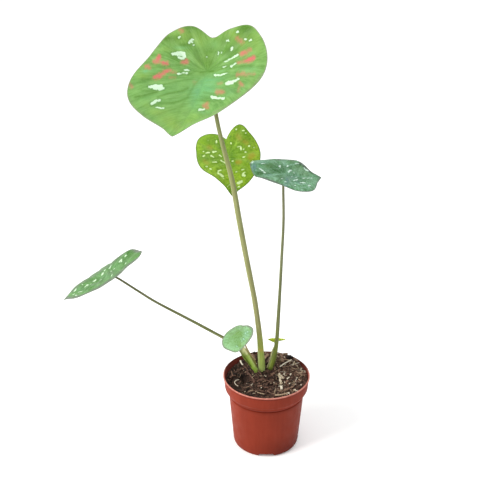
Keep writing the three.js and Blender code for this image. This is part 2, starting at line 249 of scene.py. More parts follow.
def joined(name, pieces):
    """One piece out of many, which keeps their marks."""
    pick(pieces[0])
    for piece in pieces:
        piece.select_set(True)
    bpy.ops.object.join()
    whole = bpy.context.object
    whole.name = whole.data.name = name
    return whole


print("helpers: wrapped_grid, joined")

# %% [markdown]
# ## Node groups
# Effects that several finishes share are built once: a soft mottle between two values, the
# fine grain of moulded plastic or leaf skin, and the spots of a clown caladium, which read
# a distance kept on every point of the leaf and roughen its edge with noise.

# %% Nodes and groups
def feed(socket, term):
    """Links a socket to another one, or sets it to a number, a vector or a colour."""
    if isinstance(term, bpy.types.NodeSocket):
        socket.id_data.links.new(term, socket)
    elif socket.type == "RGBA" and len(term) == 3:
        socket.default_value = (*term, 1)
    else:
        socket.default_value = term


def add_node(tree, kind, **settings):
    """A node; a setting named like one of its inputs feeds that input."""
    made = tree.nodes.new(kind)
    for name, value in settings.items():
        if name in made.inputs:
            feed(made.inputs[name], value)
        else:
            setattr(made, name, value)
    return made


def new_group(name, inputs, outputs):
    """An empty node group with named sockets; gives the tree, its inputs and its outputs."""
    tree = bpy.data.node_groups.new(name, "ShaderNodeTree")
    kinds = {"value": "NodeSocketFloat", "colour": "NodeSocketColor", "vector": "NodeSocketVector"}
    for direction, sockets in (("INPUT", inputs), ("OUTPUT", outputs)):
        for label, kind in sockets.items():
            tree.interface.new_socket(label, in_out=direction, socket_type=kinds[kind])
    return tree, tree.nodes.new("NodeGroupInput").outputs, tree.nodes.new("NodeGroupOutput").inputs


def use_group(tree, group, **values):
    made = add_node(tree, "ShaderNodeGroup", node_tree=group)
    for label, value in values.items():
        feed(made.inputs[label.replace("_", " ")], value)
    return made.outputs


print("helpers: feed, add_node, new_group, use_group")


# %% Sums, mixes and noise
# These take sockets and numbers, and add their nodes to the sockets' own tree.
def tree_of(*terms):
    return next(term.id_data for term in terms if isinstance(term, bpy.types.NodeSocket))


def made_of(kind, *terms, **settings):
    """The first output of a node whose first inputs take the terms."""
    made = add_node(tree_of(*terms), kind, **settings)
    for socket, term in zip(made.inputs, terms):
        feed(socket, term)
    return made.outputs[0]


def math_of(operation, *terms, clamp=False):
    return made_of("ShaderNodeMath", *terms, operation=operation, use_clamp=clamp)


def times(first, *others, clamp=False):
    for other in others:
        first = math_of("MULTIPLY", first, other, clamp=clamp)
    return first


def plus(first, second):
    return math_of("ADD", first, second)


def minus(first, second):
    return math_of("SUBTRACT", first, second)


def mixed(share, first, second, blend="MIX"):
    """Colour mix: first where share is 0, second where it is 1."""
    made = add_node(tree_of(share, first, second), "ShaderNodeMix", data_type="RGBA",
                    blend_type=blend, clamp_factor=True)
    for k, term in ((0, share), (6, first), (7, second)):
        feed(made.inputs[k], term)
    return made.outputs[2]


def spread(value, low, high, to_low=0, to_high=1, ends="SMOOTHSTEP"):
    """Maps low..high to to_low..to_high, with soft ends unless they are LINEAR."""
    return made_of("ShaderNodeMapRange", value, low, high, to_low, to_high, interpolation_type=ends)


def noise_of(vector, scale, detail=3, rough=0.55):
    return made_of("ShaderNodeTexNoise", vector, Scale=scale, Detail=detail, Roughness=rough)


def stretched(vector, by):
    return made_of("ShaderNodeMapping", vector, Scale=by)


def colour_ramp(value, stops):
    """A colour for each value 0..1, from stops of (value, colour)."""
    ramp = value.id_data.nodes.new("ShaderNodeValToRGB")
    steps = ramp.color_ramp.elements
    while len(steps) < len(stops):
        steps.new(0.5)
    for step, (at, colour) in zip(steps, stops):
        step.position, step.color = at, (*colour, 1)
    feed(ramp.inputs[0], value)
    return ramp.outputs[0]


print("helpers: made_of, math_of, mixed, spread, noise_of, stretched, colour_ramp")


# %% What a finish reads, and what it fills
def object_place(tree):
    return tree.nodes.new("ShaderNodeTexCoord").outputs["Object"]


def mark_of(tree, name):
    return add_node(tree, "ShaderNodeAttribute", attribute_name=name).outputs["Fac"]


def noise_on_marks(tree, rough, **factors):
    """Noise in the space of three marks, each times its factor; a small one draws it out."""
    place = add_node(tree, "ShaderNodeCombineXYZ")
    for socket, (name, factor) in zip(place.inputs, factors.items()):
        feed(socket, times(mark_of(tree, name), factor))
    return noise_of(place.outputs[0], 1, 3, rough)


def new_finish(name, roughness, specular):
    """A material, its tree, and the inputs of its shader."""
    finish = bpy.data.materials.new(name)
    finish.use_nodes = True
    into = finish.node_tree.nodes["Principled BSDF"].inputs
    feed(into["Roughness"], roughness)
    feed(into["Specular IOR Level"], specular)
    return finish, finish.node_tree, into


def bumped(into, height, strength, distance):
    bump = add_node(tree_of(height), "ShaderNodeBump", Strength=strength, Distance=distance,
                    Height=height)
    feed(into["Normal"], bump.outputs[0])


print("helpers: object_place, mark_of, noise_on_marks, new_finish, bumped")

# %% Shared groups: mottle, grain, spots
mottle, given, out = new_group(
    "mottle",
    {"Vector": "vector", "Scale": "value", "Dark": "colour", "Light": "colour", "Edge": "value"},
    {"Colour": "colour"})
cloud = made_of("ShaderNodeTexNoise", given["Vector"], Scale=given["Scale"], Detail=4)
low_end, high_end = minus(0.5, given["Edge"]), plus(0.5, given["Edge"])
share = math_of("DIVIDE", minus(cloud, low_end), minus(high_end, low_end), clamp=True)
feed(out["Colour"], mixed(share, given["Dark"], given["Light"]))

grain, given, out = new_group("grain", {"Vector": "vector", "Scale": "value"}, {"Height": "value"})
fine = made_of("ShaderNodeTexNoise", given["Vector"], Scale=given["Scale"], Detail=3)
pits = made_of("ShaderNodeTexVoronoi", given["Vector"], Scale=times(given["Scale"], 0.6))
feed(out["Height"], plus(times(fine, 0.7), times(pits, 0.3)))

RING_TINT = (0.45, 0.55, 0.5)  # the dark green ring round a white spot, times the green
spots, given, out = new_group(
    "clown spots",
    {"Vector": "vector", "Green": "colour", "Pink": "colour", "White": "colour",
     "White distance": "value", "Pink distance": "value", "Pink strength": "value", "Rag": "value"},
    {"Colour": "colour"})
rag = times(minus(noise_of(given["Vector"], 420, 3, 0.6), 0.5), 4.6)
fray = times(minus(noise_of(given["Vector"], 150, 2, 0.5), 0.5), 3)
rag_mm = times(plus(rag, fray), given["Rag"])
white_edge = plus(given["White distance"], rag_mm)
pink_edge = plus(given["Pink distance"], times(rag_mm, 1.9))
ring = times(spread(white_edge, 2.6, 1), 0.28)
white = spread(white_edge, 0.45, -0.45)
pink = times(spread(pink_edge, 2.7, -2.2), given["Pink strength"])
ringed = mixed(ring, given["Green"], mixed(1, given["Green"], RING_TINT, "MULTIPLY"))
with_pink = mixed(pink, ringed, given["Pink"])
feed(out["Colour"], mixed(white, with_pink, given["White"]))
print("node groups: mottle, grain, clown spots")

# %% [markdown]
# ## The pot
# A nursery pot is moulded in one go: a thin wall, a straight collar with a small lip, a
# chamfer and crease below it, and a foot ring with arches that let water out. A circle
# primitive is extruded ring by ring along the measured profile, from the middle of the
# underside, up the outside, over the lip and down the inside. That keeps one closed skin,
# so the wall has its real thickness and the lip its real roundness.

# %% Pot profile
POT_ROUND = 144
WALL = 1.5
POT_UNDER = [
    (10, 0), (10.3, 0.3), (10.6, 2.7), (11, 3), (34.2, 3), (34.6, 2.7), (34.9, 0.3), (35.2, 0)]
POT_OUTSIDE = [
    (36.9, 0), (38.1, 0.5), (39, 1.5), (39.7, 3.1), (40.05, 5), (40.3, 9), (41.7, 25), (43.2, 42),
    (44.6, 59), (45.35, 68.2), (45.4, 69.1), (45.1, 69.5), (45.15, 69.9), (45.9, 70.5),
    (46.6, 71.2), (48.2, 74), (49.9, 77.1), (50.3, 77.8), (50.5, 78.6), (51, 84), (51.6, 90.6),
    (51.6, 91.3), (51.75, 91.7), (52.25, 91.9), (52.5, 92.3), (52.5, 93.2)]
POT_LIP = [(52.38, 93.6), (52.1, 93.87), (51.7, 93.98), (51.35, 93.92), (51.1, 93.7), (51, 93.3)]
POT_INSIDE = [(51.65 - WALL, 89), (50.5 - WALL, 79), (50.3 - WALL, 77.8), (46.2 - WALL, 70.6),
              (45.6 - WALL, 69.6), (40.3 - WALL, 9), (39.9 - WALL, 6.6), (38, 5.3), (37, 5)]


def turned_shell(name, rings, around):
    """A circle primitive extruded through rings of (radius, height) in mm, closed at both ends."""
    drop_selection()
    radius, height = rings[0]
    bpy.ops.mesh.primitive_circle_add(vertices=around, radius=radius * MM, fill_type="NGON")
    piece = bpy.context.object
    piece.name = piece.data.name = name
    bpy.ops.object.mode_set(mode="EDIT")
    bpy.ops.mesh.select_mode(type="EDGE")
    bpy.ops.mesh.select_all(action="SELECT")
    bpy.ops.transform.translate(value=(0, 0, height * MM))
    for new_radius, new_height in rings[1:]:
        bpy.ops.mesh.extrude_edges_move(
            TRANSFORM_OT_translate={"value": (0, 0, (new_height - height) * MM)})
        factor = new_radius / radius
        bpy.ops.transform.resize(value=(factor, factor, 1), center_override=(0, 0, 0))
        radius, height = new_radius, new_height
    bpy.ops.mesh.edge_face_add()
    bpy.ops.mesh.select_all(action="SELECT")
    bpy.ops.mesh.normals_make_consistent(inside=False)
    bpy.ops.object.mode_set(mode="OBJECT")
    return piece


POT_RINGS = POT_UNDER + POT_OUTSIDE + POT_LIP + POT_INSIDE
pot = turned_shell("nursery_pot", POT_RINGS, POT_ROUND)
print("pot rings:", len(POT_RINGS))

# %% Arches in the foot ring and drain holes
ARCHES, ARCH_WIDE, ARCH_HIGH, ARCH_DEEP, ARCH_AT, ARCH_ROUND = 4, 18.5, 4.4, 9, 38.5, 2.2
DRAINS, DRAIN_R, DRAIN_AT, DRAIN_CUT = 8, 4, 22, 4


def cut_away(piece, cutter):
    bpy.context.view_layer.update()
    apply_modifier(piece, "BOOLEAN", operation="DIFFERENCE", object=cutter, solver="EXACT")
    bpy.data.objects.remove(cutter)


for side in range(ARCHES):
    angle = 2 * math.pi * side / ARCHES
    at = Vector((math.sin(angle), -math.cos(angle), 0)) * ARCH_AT * MM
    drop_selection()
    # A box with round edges, half under the floor, makes a low arch with a flat top.
    bpy.ops.mesh.primitive_cube_add(size=1, location=at, rotation=(0, 0, angle))
    arch = bpy.context.object
    arch.scale = (ARCH_WIDE * MM, ARCH_DEEP * MM, 2 * ARCH_HIGH * MM)
    bpy.ops.object.transform_apply(location=False, rotation=False, scale=True)
    apply_modifier(arch, "BEVEL", width=ARCH_ROUND * MM, segments=4, limit_method="NONE")
    cut_away(pot, arch)
for i in range(DRAINS):
    angle = 2 * math.pi * (i + 0.5) / DRAINS
    drop_selection()
    at = Vector((DRAIN_AT * math.cos(angle), DRAIN_AT * math.sin(angle), DRAIN_CUT)) * MM
    bpy.ops.mesh.primitive_cylinder_add(vertices=32, radius=DRAIN_R * MM, depth=DRAIN_CUT * MM,
                                        location=at)
    cut_away(pot, bpy.context.object)
print("pot cut:", len(pot.data.polygons), "faces")

# %% [markdown]
# ## Finish of the pot
# Terracotta-red plastic: a semi-matt skin with a fine moulded grain and faint upright flow
# lines, and a little soil dust inside. Light and shade are painted on too: a painted
# highlight on the front of the lip and painted shade on its back, a lit strip on the window
# side, and painted shade low on the far side, in the crease and under the lip. All of it
# reads Object coordinates, so nothing slides when the camera moves.

# %% Pot finish
POT_DARK, POT_LIGHT = (0.178, 0.022, 0.0095), (0.215, 0.0285, 0.013)
POT_STREAK, POT_LIT_STRIP = (0.255, 0.037, 0.018), (0.345, 0.042, 0.015)
POT_SHADE, POT_CREASE_SHADE, POT_DUST = (0.095, 0.01, 0.005), (0.095, 0.011, 0.006), (0.185, 0.047, 0.04)
LIP_HIGHLIGHT, LIP_SHADE = (0.57, 0.235, 0.185), (0.045, 0.009, 0.008)
pot_finish, tree, into = new_finish("pot plastic", 0.5, 0.12)
here = object_place(tree)
across, deep_in, up = add_node(tree, "ShaderNodeSeparateXYZ", Vector=here).outputs
clouded = use_group(tree, mottle, Vector=here, Scale=38, Edge=0.3,
                    Dark=POT_DARK, Light=POT_LIGHT)["Colour"]
streaks = spread(noise_of(stretched(here, (260, 260, 9)), 1, 2), 0.35, 0.7)
body = mixed(times(streaks, 0.22), clouded, POT_STREAK)
# Painted shade: the side away from the window is darker near the foot. Painted light: the
# window side has a brighter strip.
low = times(spread(up, 0.036, 0), spread(across, -0.028, 0.036))
body = mixed(times(low, 0.8), body, POT_SHADE)
body = mixed(spread(across, -0.030, -0.036, 0, 0.18), body, POT_LIT_STRIP)
# Painted light on the lip: a pale painted highlight along its front, broken by noise, and painted
# shade along its back.
lip_glint_noise = spread(noise_of(here, 300, 4), 0.3, 0.65)
lip = times(spread(up, 0.0922, 0.0935), plus(times(lip_glint_noise, 0.35), 0.6))
coloured = mixed(lip, body, mixed(spread(deep_in, 0.022, -0.002), LIP_SHADE, LIP_HIGHLIGHT))
# Soil dust lies on the inside wall, just over the mix.
outward = add_node(tree, "ShaderNodeVectorMath", operation="DOT_PRODUCT")
feed(outward.inputs[0], here)
feed(outward.inputs[1], tree.nodes.new("ShaderNodeNewGeometry").outputs["Normal"])
inside = times(math_of("LESS_THAN", outward.outputs["Value"], 0), spread(up, 0.0940, 0.0918))
dust = times(inside, spread(noise_of(here, 240, 5), 0.35, 0.75, 0.55, 0.92))
# Painted shade: the crease under the collar is darkened, fading towards the window, with a
# soft painted shade below it.
crease = math_of("MAXIMUM", times(spread(up, 0.0672, 0.0692), 0.75),
                 times(spread(up, 0.0628, 0.0690), 0.32))
crease = times(crease, spread(up, 0.0713, 0.0700), spread(across, -0.045, -0.008, 0.35, 1))
# Painted shadow: a thin dark row under the lip.
under_lip_shadow = times(spread(up, 0.0900, 0.0912), spread(up, 0.0922, 0.0917), 0.75)
creased = mixed(math_of("MAXIMUM", crease, under_lip_shadow), coloured, POT_CREASE_SHADE)
feed(into["Base Color"], mixed(dust, creased, POT_DUST))
# No sheen in the chamfer under the collar, which would mirror the floor.
chamfer = times(spread(up, 0.0672, 0.0690), spread(up, 0.0775, 0.0722))
feed(into["Specular IOR Level"], minus(0.08, times(chamfer, 0.08)))
feed(into["Roughness"], spread(noise_of(here, 120, 3), 0.3, 0.7, 0.44, 0.58))
skin = use_group(tree, grain, Vector=here, Scale=1900)["Height"]
bumped(into, plus(times(streaks, 0.4), times(skin, 0.6)), 0.25, 0.00025)
place_piece(pot, pot_finish, "pot", "pot", smooth=30)

# %% [markdown]
# ## The potting mix
# Peat and bark look like a pile of small dark clods with gaps between them. The surface is
# one wrapped grid whose height is the measured one (a heap at the back right, a hollow at
# the left) plus clods from cell noise; loose pieces are laid on it afterwards.

# %% Height of the mix
MIX_Z, MIX_EDGE, MIX_BASE_Z = 87.7, 49.15, 5.3
MIX_WALL = [(37.6, MIX_BASE_Z), (38.5, 9), (43.8, 69.8), (44.4, 70.6), (48.6, 78), (MIX_EDGE, 84)]
SURFACE_SHARE = 0.86  # rows of the grid that make the surface; the rest are wall and base
WALL_SHARE = 0.75  # of the rest, the part that makes the wall
LEVEL_HILLS = [(16, 44, 28, 3.4), (-5, 9, 15, 3.2), (-27, 7, 7, -3.2), (1, 37, 6, -2)]
HEAPS = [(24, 39, 11, 3.6), (-13, 43, 7, 5), (4, 45, 8, 2.6), (-11, 2.5, 5, 5), (3.5, 7.5, 5, 3.4),
         (36, 26, 8, 1.6), (-5, 5, 4, 1.4)]
HOLLOW_AT, HOLLOW_R, HOLLOW_LONG, HOLLOW_DEEP = (-27.5, 3), 6, 1.7, 7
CLODS, GRIT, LUMPS = 0.19, 0.5, 0.11  # how many to a millimetre
CRACK = 0.35  # how wide the gap beside a clod is, in clods


def hills(x, y, rows):
    """Sum of round hills (x, y, radius, height), or hollows where the height is negative."""
    return sum(d * np.exp(-((x - px) ** 2 + (y - py) ** 2) / (r * r)) for px, py, r, d in rows)


def mix_level(x, y):
    """The smooth height of the mix in mm, as in the solid."""
    return (MIX_Z + 0.045 * x + 0.045 * y + hills(x, y, LEVEL_HILLS)
            + 0.7 * np.sin(0.31 * x + 1.3) * np.sin(0.27 * y + 0.4)
            + 0.45 * np.sin(0.55 * x - 0.42 * y + 2) + 0.35 * np.sin(0.9 * y + 0.35 * x))


def heaps(x, y):
    """Small heaps round the feet of the stalks and against the back of the rim."""
    return hills(x, y, HEAPS)


def clods(x, y):
    """Small clods and the dark gaps between them, for one place."""
    near = noise.voronoi(Vector((x * CLODS, y * CLODS, 3.1)))[0]
    crack = min(near[1] - near[0], CRACK) / CRACK
    fine = noise.fractal(Vector((x * GRIT, y * GRIT, 7.7)), 1.0, 2.1, 4)
    coarse = noise.noise(Vector((x * LUMPS, y * LUMPS, 1.2)))
    px, py = HOLLOW_AT
    away = ((x - px) / HOLLOW_R) ** 2 + ((y - py) / (HOLLOW_LONG * HOLLOW_R)) ** 2
    hollow = HOLLOW_DEEP * math.exp(-away)
    return 2.2 * (crack - 0.72) + 1.1 * fine + 1.3 * coarse - hollow + float(heaps(x, y))


def mix_point(turn, out):
    angle = turn * math.pi
    share = np.clip(out / SURFACE_SHARE, 0, 1)
    radius = MIX_EDGE * share
    x, y = radius * np.cos(angle), radius * np.sin(angle)
    lift = np.array([clods(a, b) for a, b in zip(x, y)])
    z = mix_level(x, y) + lift * np.clip((1.02 - share) * 12, 0.15, 1)
    # Down the wall of the pot, and back to the axis along the base.
    down = np.clip((out - SURFACE_SHARE) / (1 - SURFACE_SHARE), 0, 1)
    wall = np.clip(down / WALL_SHARE, 0, 1)
    base = np.clip((down - WALL_SHARE) / (1 - WALL_SHARE), 0, 1)
    wall_z = z * (1 - wall) + MIX_BASE_Z * wall
    wall_r = np.interp(wall_z, [high for _, high in MIX_WALL], [wide for wide, _ in MIX_WALL])
    r = np.where(down > 0, wall_r, radius) * (1 - base)
    z = np.where(down > 0, wall_z, z)
    return np.stack([r * np.cos(angle), r * np.sin(angle), z], 1) * MM


print("mix in the middle of the pot:", round(float(mix_level(0, 0)), 1), "mm up")


# %% The mix, and where it is darker or paler in the picture
def soft_patch(pixels, patches):
    """Sum of soft round patches (x, y, half width, half height, strength) in the picture."""
    made = np.zeros(len(pixels))
    for x, y, rx, ry, strength in patches:
        made += strength * np.exp(-((pixels[:, 0] - x) / rx) ** 2 - ((pixels[:, 1] - y) / ry) ** 2)
    return made


# Painted shade: darker patches in the hollow at the left, round the feet of the stalks and towards
# the front of the mix.
GROUND_SHADE = [(243.5, 377, 6, 6, 1), (263, 362, 4, 8, 0.8), (240, 366, 8, 6, 0.4),
               (266, 381, 8, 6, 0.3), (273, 386, 5, 3, 0.5), (262, 388, 10, 3, 0.3)]
PALE_GROUND = [(291, 372, 12, 10, 0.9), (282, 358, 8, 5, 1.3), (268, 355, 6, 4, 1.8),
               (252, 355, 4, 4, 1.2), (283, 391, 8, 3, 0.7), (250, 364, 5, 4, 0.4),
               (238, 370, 6, 9, 0.6), (240, 385, 8, 5, 0.4)]
mix = wrapped_grid("potting_mix_surface", 260, 120, mix_point)
mix_seen = pixels_of(points_of(mix))
mark(mix, "dark_ground", soft_patch(mix_seen, GROUND_SHADE))
mark(mix, "pale_ground", soft_patch(mix_seen, PALE_GROUND))
print("mix surface from", round(points_of(mix)[:, 2].min() / MM, 1), "mm up")

# %% Mix finish
mix_finish, tree, into = new_finish("peat and bark", 0.85, 0.25)
here = object_place(tree)
ground = use_group(tree, mottle, Vector=here, Scale=330, Edge=0.2,
                   Dark=(0.009, 0.005, 0.003), Light=(0.1, 0.05, 0.034))["Colour"]
flecks = spread(noise_of(stretched(here, (1, 1.8, 1)), 620, 2), 0.62, 0.7)
# After the flecks and the paler ground comes the painted shade of the dark patches.
for share, colour in ((times(flecks, 0.7), (0.22, 0.13, 0.085)),
                      (times(mark_of(tree, "pale_ground"), 0.6), (0.19, 0.115, 0.078)),
                      (times(mark_of(tree, "dark_ground"), 0.85), (0.006, 0.003, 0.002))):
    ground = mixed(share, ground, colour)
feed(into["Base Color"], ground)
bumped(into, noise_of(here, 900, 5, 0.7), 0.9, 0.0008)
place_piece(mix, mix_finish, "potting_mix", "potting_mix", smooth=50)

# %% [markdown]
# ## Loose pieces on the mix
# Bark chips, crumbs and fibres are each modelled a few times and copied, every copy with
# its own mesh, its own size and its own tone. A seeded draw lays them down, so that the
# pot looks the same in each run. Every piece keeps its tone as a mark on its points.

# %% Models of a chip, a crumb and a fibre
draw = random.Random(23)


def chip_model(name, seed):
    """A bark chip of unit length: a cube pressed flat, with broken ends."""
    drop_selection()
    bpy.ops.mesh.primitive_cube_add(size=1)
    chip = bpy.context.object
    chip.name = name

    def shape():
        bpy.ops.mesh.subdivide(number_cuts=1)
        bpy.ops.transform.resize(value=(1, 0.42, 0.2))
        bpy.ops.mesh.vertices_smooth(factor=0.25)
    in_edit_mode(chip, shape)
    own = random.Random(seed)
    points = points_of(chip)
    points += [[own.uniform(-0.11, 0.11), own.uniform(-0.07, 0.07), own.uniform(-0.035, 0.035)]
               for _ in points]
    move_points(chip, points)
    return chip


def crumb_model(name, seed):
    """A crumb of peat: a ball of 80 faces, dented."""
    drop_selection()
    bpy.ops.mesh.primitive_ico_sphere_add(subdivisions=2, radius=0.5)
    crumb = bpy.context.object
    crumb.name = name
    points = points_of(crumb)
    points *= [[1 + 0.5 * noise.noise(Vector(p) * 2.3 + Vector((seed, 0, 0)))] * 3 for p in points]
    move_points(crumb, points * (1, 0.85, 0.7))
    return crumb


def fibre_model(name, seed):
    """A root or a straw: a thin tube of unit length that bends in two directions."""
    own = random.Random(seed)
    bend, sway = own.uniform(-0.5, 0.5), own.uniform(-0.25, 0.25)
    wave = own.uniform(1.5, 4)

    def place(turn, out):
        angle = turn * math.pi
        x = out - 0.5
        thin = 0.5 * np.where((out < 0.01) | (out > 0.99), 0, 1)
        y = bend * (x * x - 0.1) + 0.06 * np.sin(wave * out * 2)
        z = sway * (x * x - 0.1)
        return np.stack([x, y + thin * np.cos(angle) * 0.1, z + thin * np.sin(angle) * 0.1], 1)
    return wrapped_grid(name, 5, 9, place)


chips = [chip_model(f"chip_model_{i}", i) for i in range(4)]
crumbs = [crumb_model(f"crumb_model_{i}", i * 3.7) for i in range(3)]
fibres = [fibre_model(f"fibre_model_{i}", i) for i in range(6)]
print("models:", len(chips), "chips,", len(crumbs), "crumbs,", len(fibres), "fibres")

# %% Laying them down
STALK_FEET = [(-6, 13, 5.2), (-5, 22, 3.2), (3, 13, 4.2), (-12.4, 8.4, 4.6), (-10.5, 18, 2),
              (0.2, 17.5, 2.2), (-16.5, 8.5, 3.4), (-27.5, 7, 5.5), (-27.5, -1, 5.5)]
TONE_DRIFT = 0.0035  # to a millimetre; the right half of the mix is paler
LAID_EDGE = 46.5  # how far from the middle pieces are laid
CLOD_EDGE = 45  # beyond it they lie on the level mix, because the clods fade to the rim
INNER_WALL = 49.4


def open_ground(x, y, room):
    return all(math.hypot(x - fx, y - fy) > r + room for fx, fy, r in STALK_FEET)


def lay(models, name, count, size, tone, sink, thin=None, tilt=0.35, favour=None):
    """Copies of the models, laid on the mix at random; size and tone give one draw each."""
    laid = []
    while len(laid) < count:
        angle, reach = draw.uniform(0, 2 * math.pi), LAID_EDGE * math.sqrt(draw.random())
        x, y = reach * math.cos(angle), reach * math.sin(angle)
        if not open_ground(x, y, 0.5) or (favour and draw.random() > favour(x)):
            continue
        copy = draw.choice(models).copy()
        copy.data = copy.data.copy()
        bpy.context.scene.collection.objects.link(copy)
        length, own_tone = size(), min(1, max(0, tone() + TONE_DRIFT * x))
        wide = length if thin is None else thin()
        turn = draw.uniform(0, 2 * math.pi)
        lean, roll = draw.uniform(-tilt, tilt), draw.uniform(-tilt, tilt)
        points = points_of(copy) * (length, wide, wide)
        for a, b, amount in ((2, 0, lean), (1, 2, roll), (0, 1, turn)):
            pa, pb = points[:, a].copy(), points[:, b].copy()
            points[:, a] = pa * math.cos(amount) - pb * math.sin(amount)
            points[:, b] = pa * math.sin(amount) + pb * math.cos(amount)
        lift = clods(x, y) if reach < CLOD_EDGE else 0.6 * float(heaps(x, y))
        points += (x, y, float(mix_level(x, y)) + lift + sink)
        far = np.hypot(points[:, 0], points[:, 1])
        points[:, :2] *= np.minimum(1, INNER_WALL / np.maximum(far, 1))[:, None]
        move_points(copy, points * MM)
        mark(copy, "tone", np.full(len(points), own_tone))
        laid.append(copy)
    return joined(name, laid)


def between(low, high):
    return lambda: draw.uniform(low, high)


def around(middle, width, least=0):
    return lambda: min(1, max(least, draw.gauss(middle, width)))


def right_half(x):
    return 0.35 + 0.65 / (1 + math.exp(-x / 12))


bark = lay(chips, "bark_chips", 330, between(2.4, 7), around(0.34, 0.16), 0.5, between(3, 6))
peat_crumbs = lay(crumbs, "peat_crumbs", 600, between(0.8, 3), around(0.2, 0.13), 0.2)
strands = lay(fibres, "root_fibres", 210, between(5, 17), around(0.6, 0.17, 0.25), 1,
              between(3, 7.5), 0.2, favour=right_half)
flecks_laid = lay(chips, "pale_flecks", 80, between(1, 2.4), between(0.66, 0.98), 1.2,
                  between(1.4, 3), favour=right_half)
for model in chips + crumbs + fibres:
    bpy.data.objects.remove(model)
print("laid:", len(bark.data.polygons), len(peat_crumbs.data.polygons), len(strands.data.polygons))

# %% [markdown]
# ## Pieces that stand out
# A few pieces are big enough to be known in the picture: a broken pale stalk at the right,
# a straw behind it, a split stick at the left, a curled root, a reddish chip. Each is a
# rod, round or pressed flat, along its own line, with its own tone. The line is given in
# pixels, and each point is brought down to the mix along the camera's ray.

# %% A rod on the mix
LITTER_EDGE = 48.2
CAP = 0.04  # share of a rod's rows that closes each end


def on_mix(px, py, lift):
    """The point (mm) seen at a pixel, lift over the mix."""
    z = MIX_Z
    for _ in range(6):
        x, y, _ = seen_at_height(px, py, z)
        far = max(math.hypot(x, y) / LITTER_EDGE, 1)
        x, y = x / far, y / far
        z = float(mix_level(x, y) + heaps(x, y)) + lift
    return x, y, z


def rod(name, line, wide, high, tone, rough, sides=10, steps=14, seed=0):
    """A stick along a line of (pixel x, pixel y, lift in mm), wide and high in mm."""
    knots = np.array([on_mix(*point) for point in line])
    spans = np.r_[0, np.cumsum(np.linalg.norm(np.diff(knots, axis=0), axis=1))]
    spans /= spans[-1]

    def at(share):
        share = np.clip(share, 0, 1)
        return np.stack([np.interp(share, spans, knots[:, k]) for k in range(3)], 1)

    def place(turn, out):
        along = np.clip((out - CAP) / (1 - 2 * CAP), 0, 1)
        ahead = at(along + 0.02) - at(along - 0.02)
        ahead /= np.linalg.norm(ahead, axis=1)[:, None]
        level = np.cross([0, 0, 1], ahead)
        level /= np.linalg.norm(level, axis=1)[:, None]
        upward = np.cross(ahead, level)
        angle = turn * math.pi
        lumps = np.array([noise.noise(Vector((math.cos(a) * 1.4, math.sin(a) * 1.4, t * 10 + seed)))
                          for a, t in zip(angle, along)])
        half = np.where((out < 0.03) | (out > 0.97), 0, 0.5) * (1 + 1.4 * rough * lumps)
        return (at(along) + level * (np.cos(angle) * wide * half)[:, None]
                + upward * (np.sin(angle) * high * half)[:, None]) * MM
    piece = wrapped_grid(name, sides, steps, place)
    mark(piece, "tone", np.full(len(piece.data.vertices), tone))
    return piece


print("a pixel of the mix lies at", [round(x) for x in on_mix(265, 370, 0)], "mm")

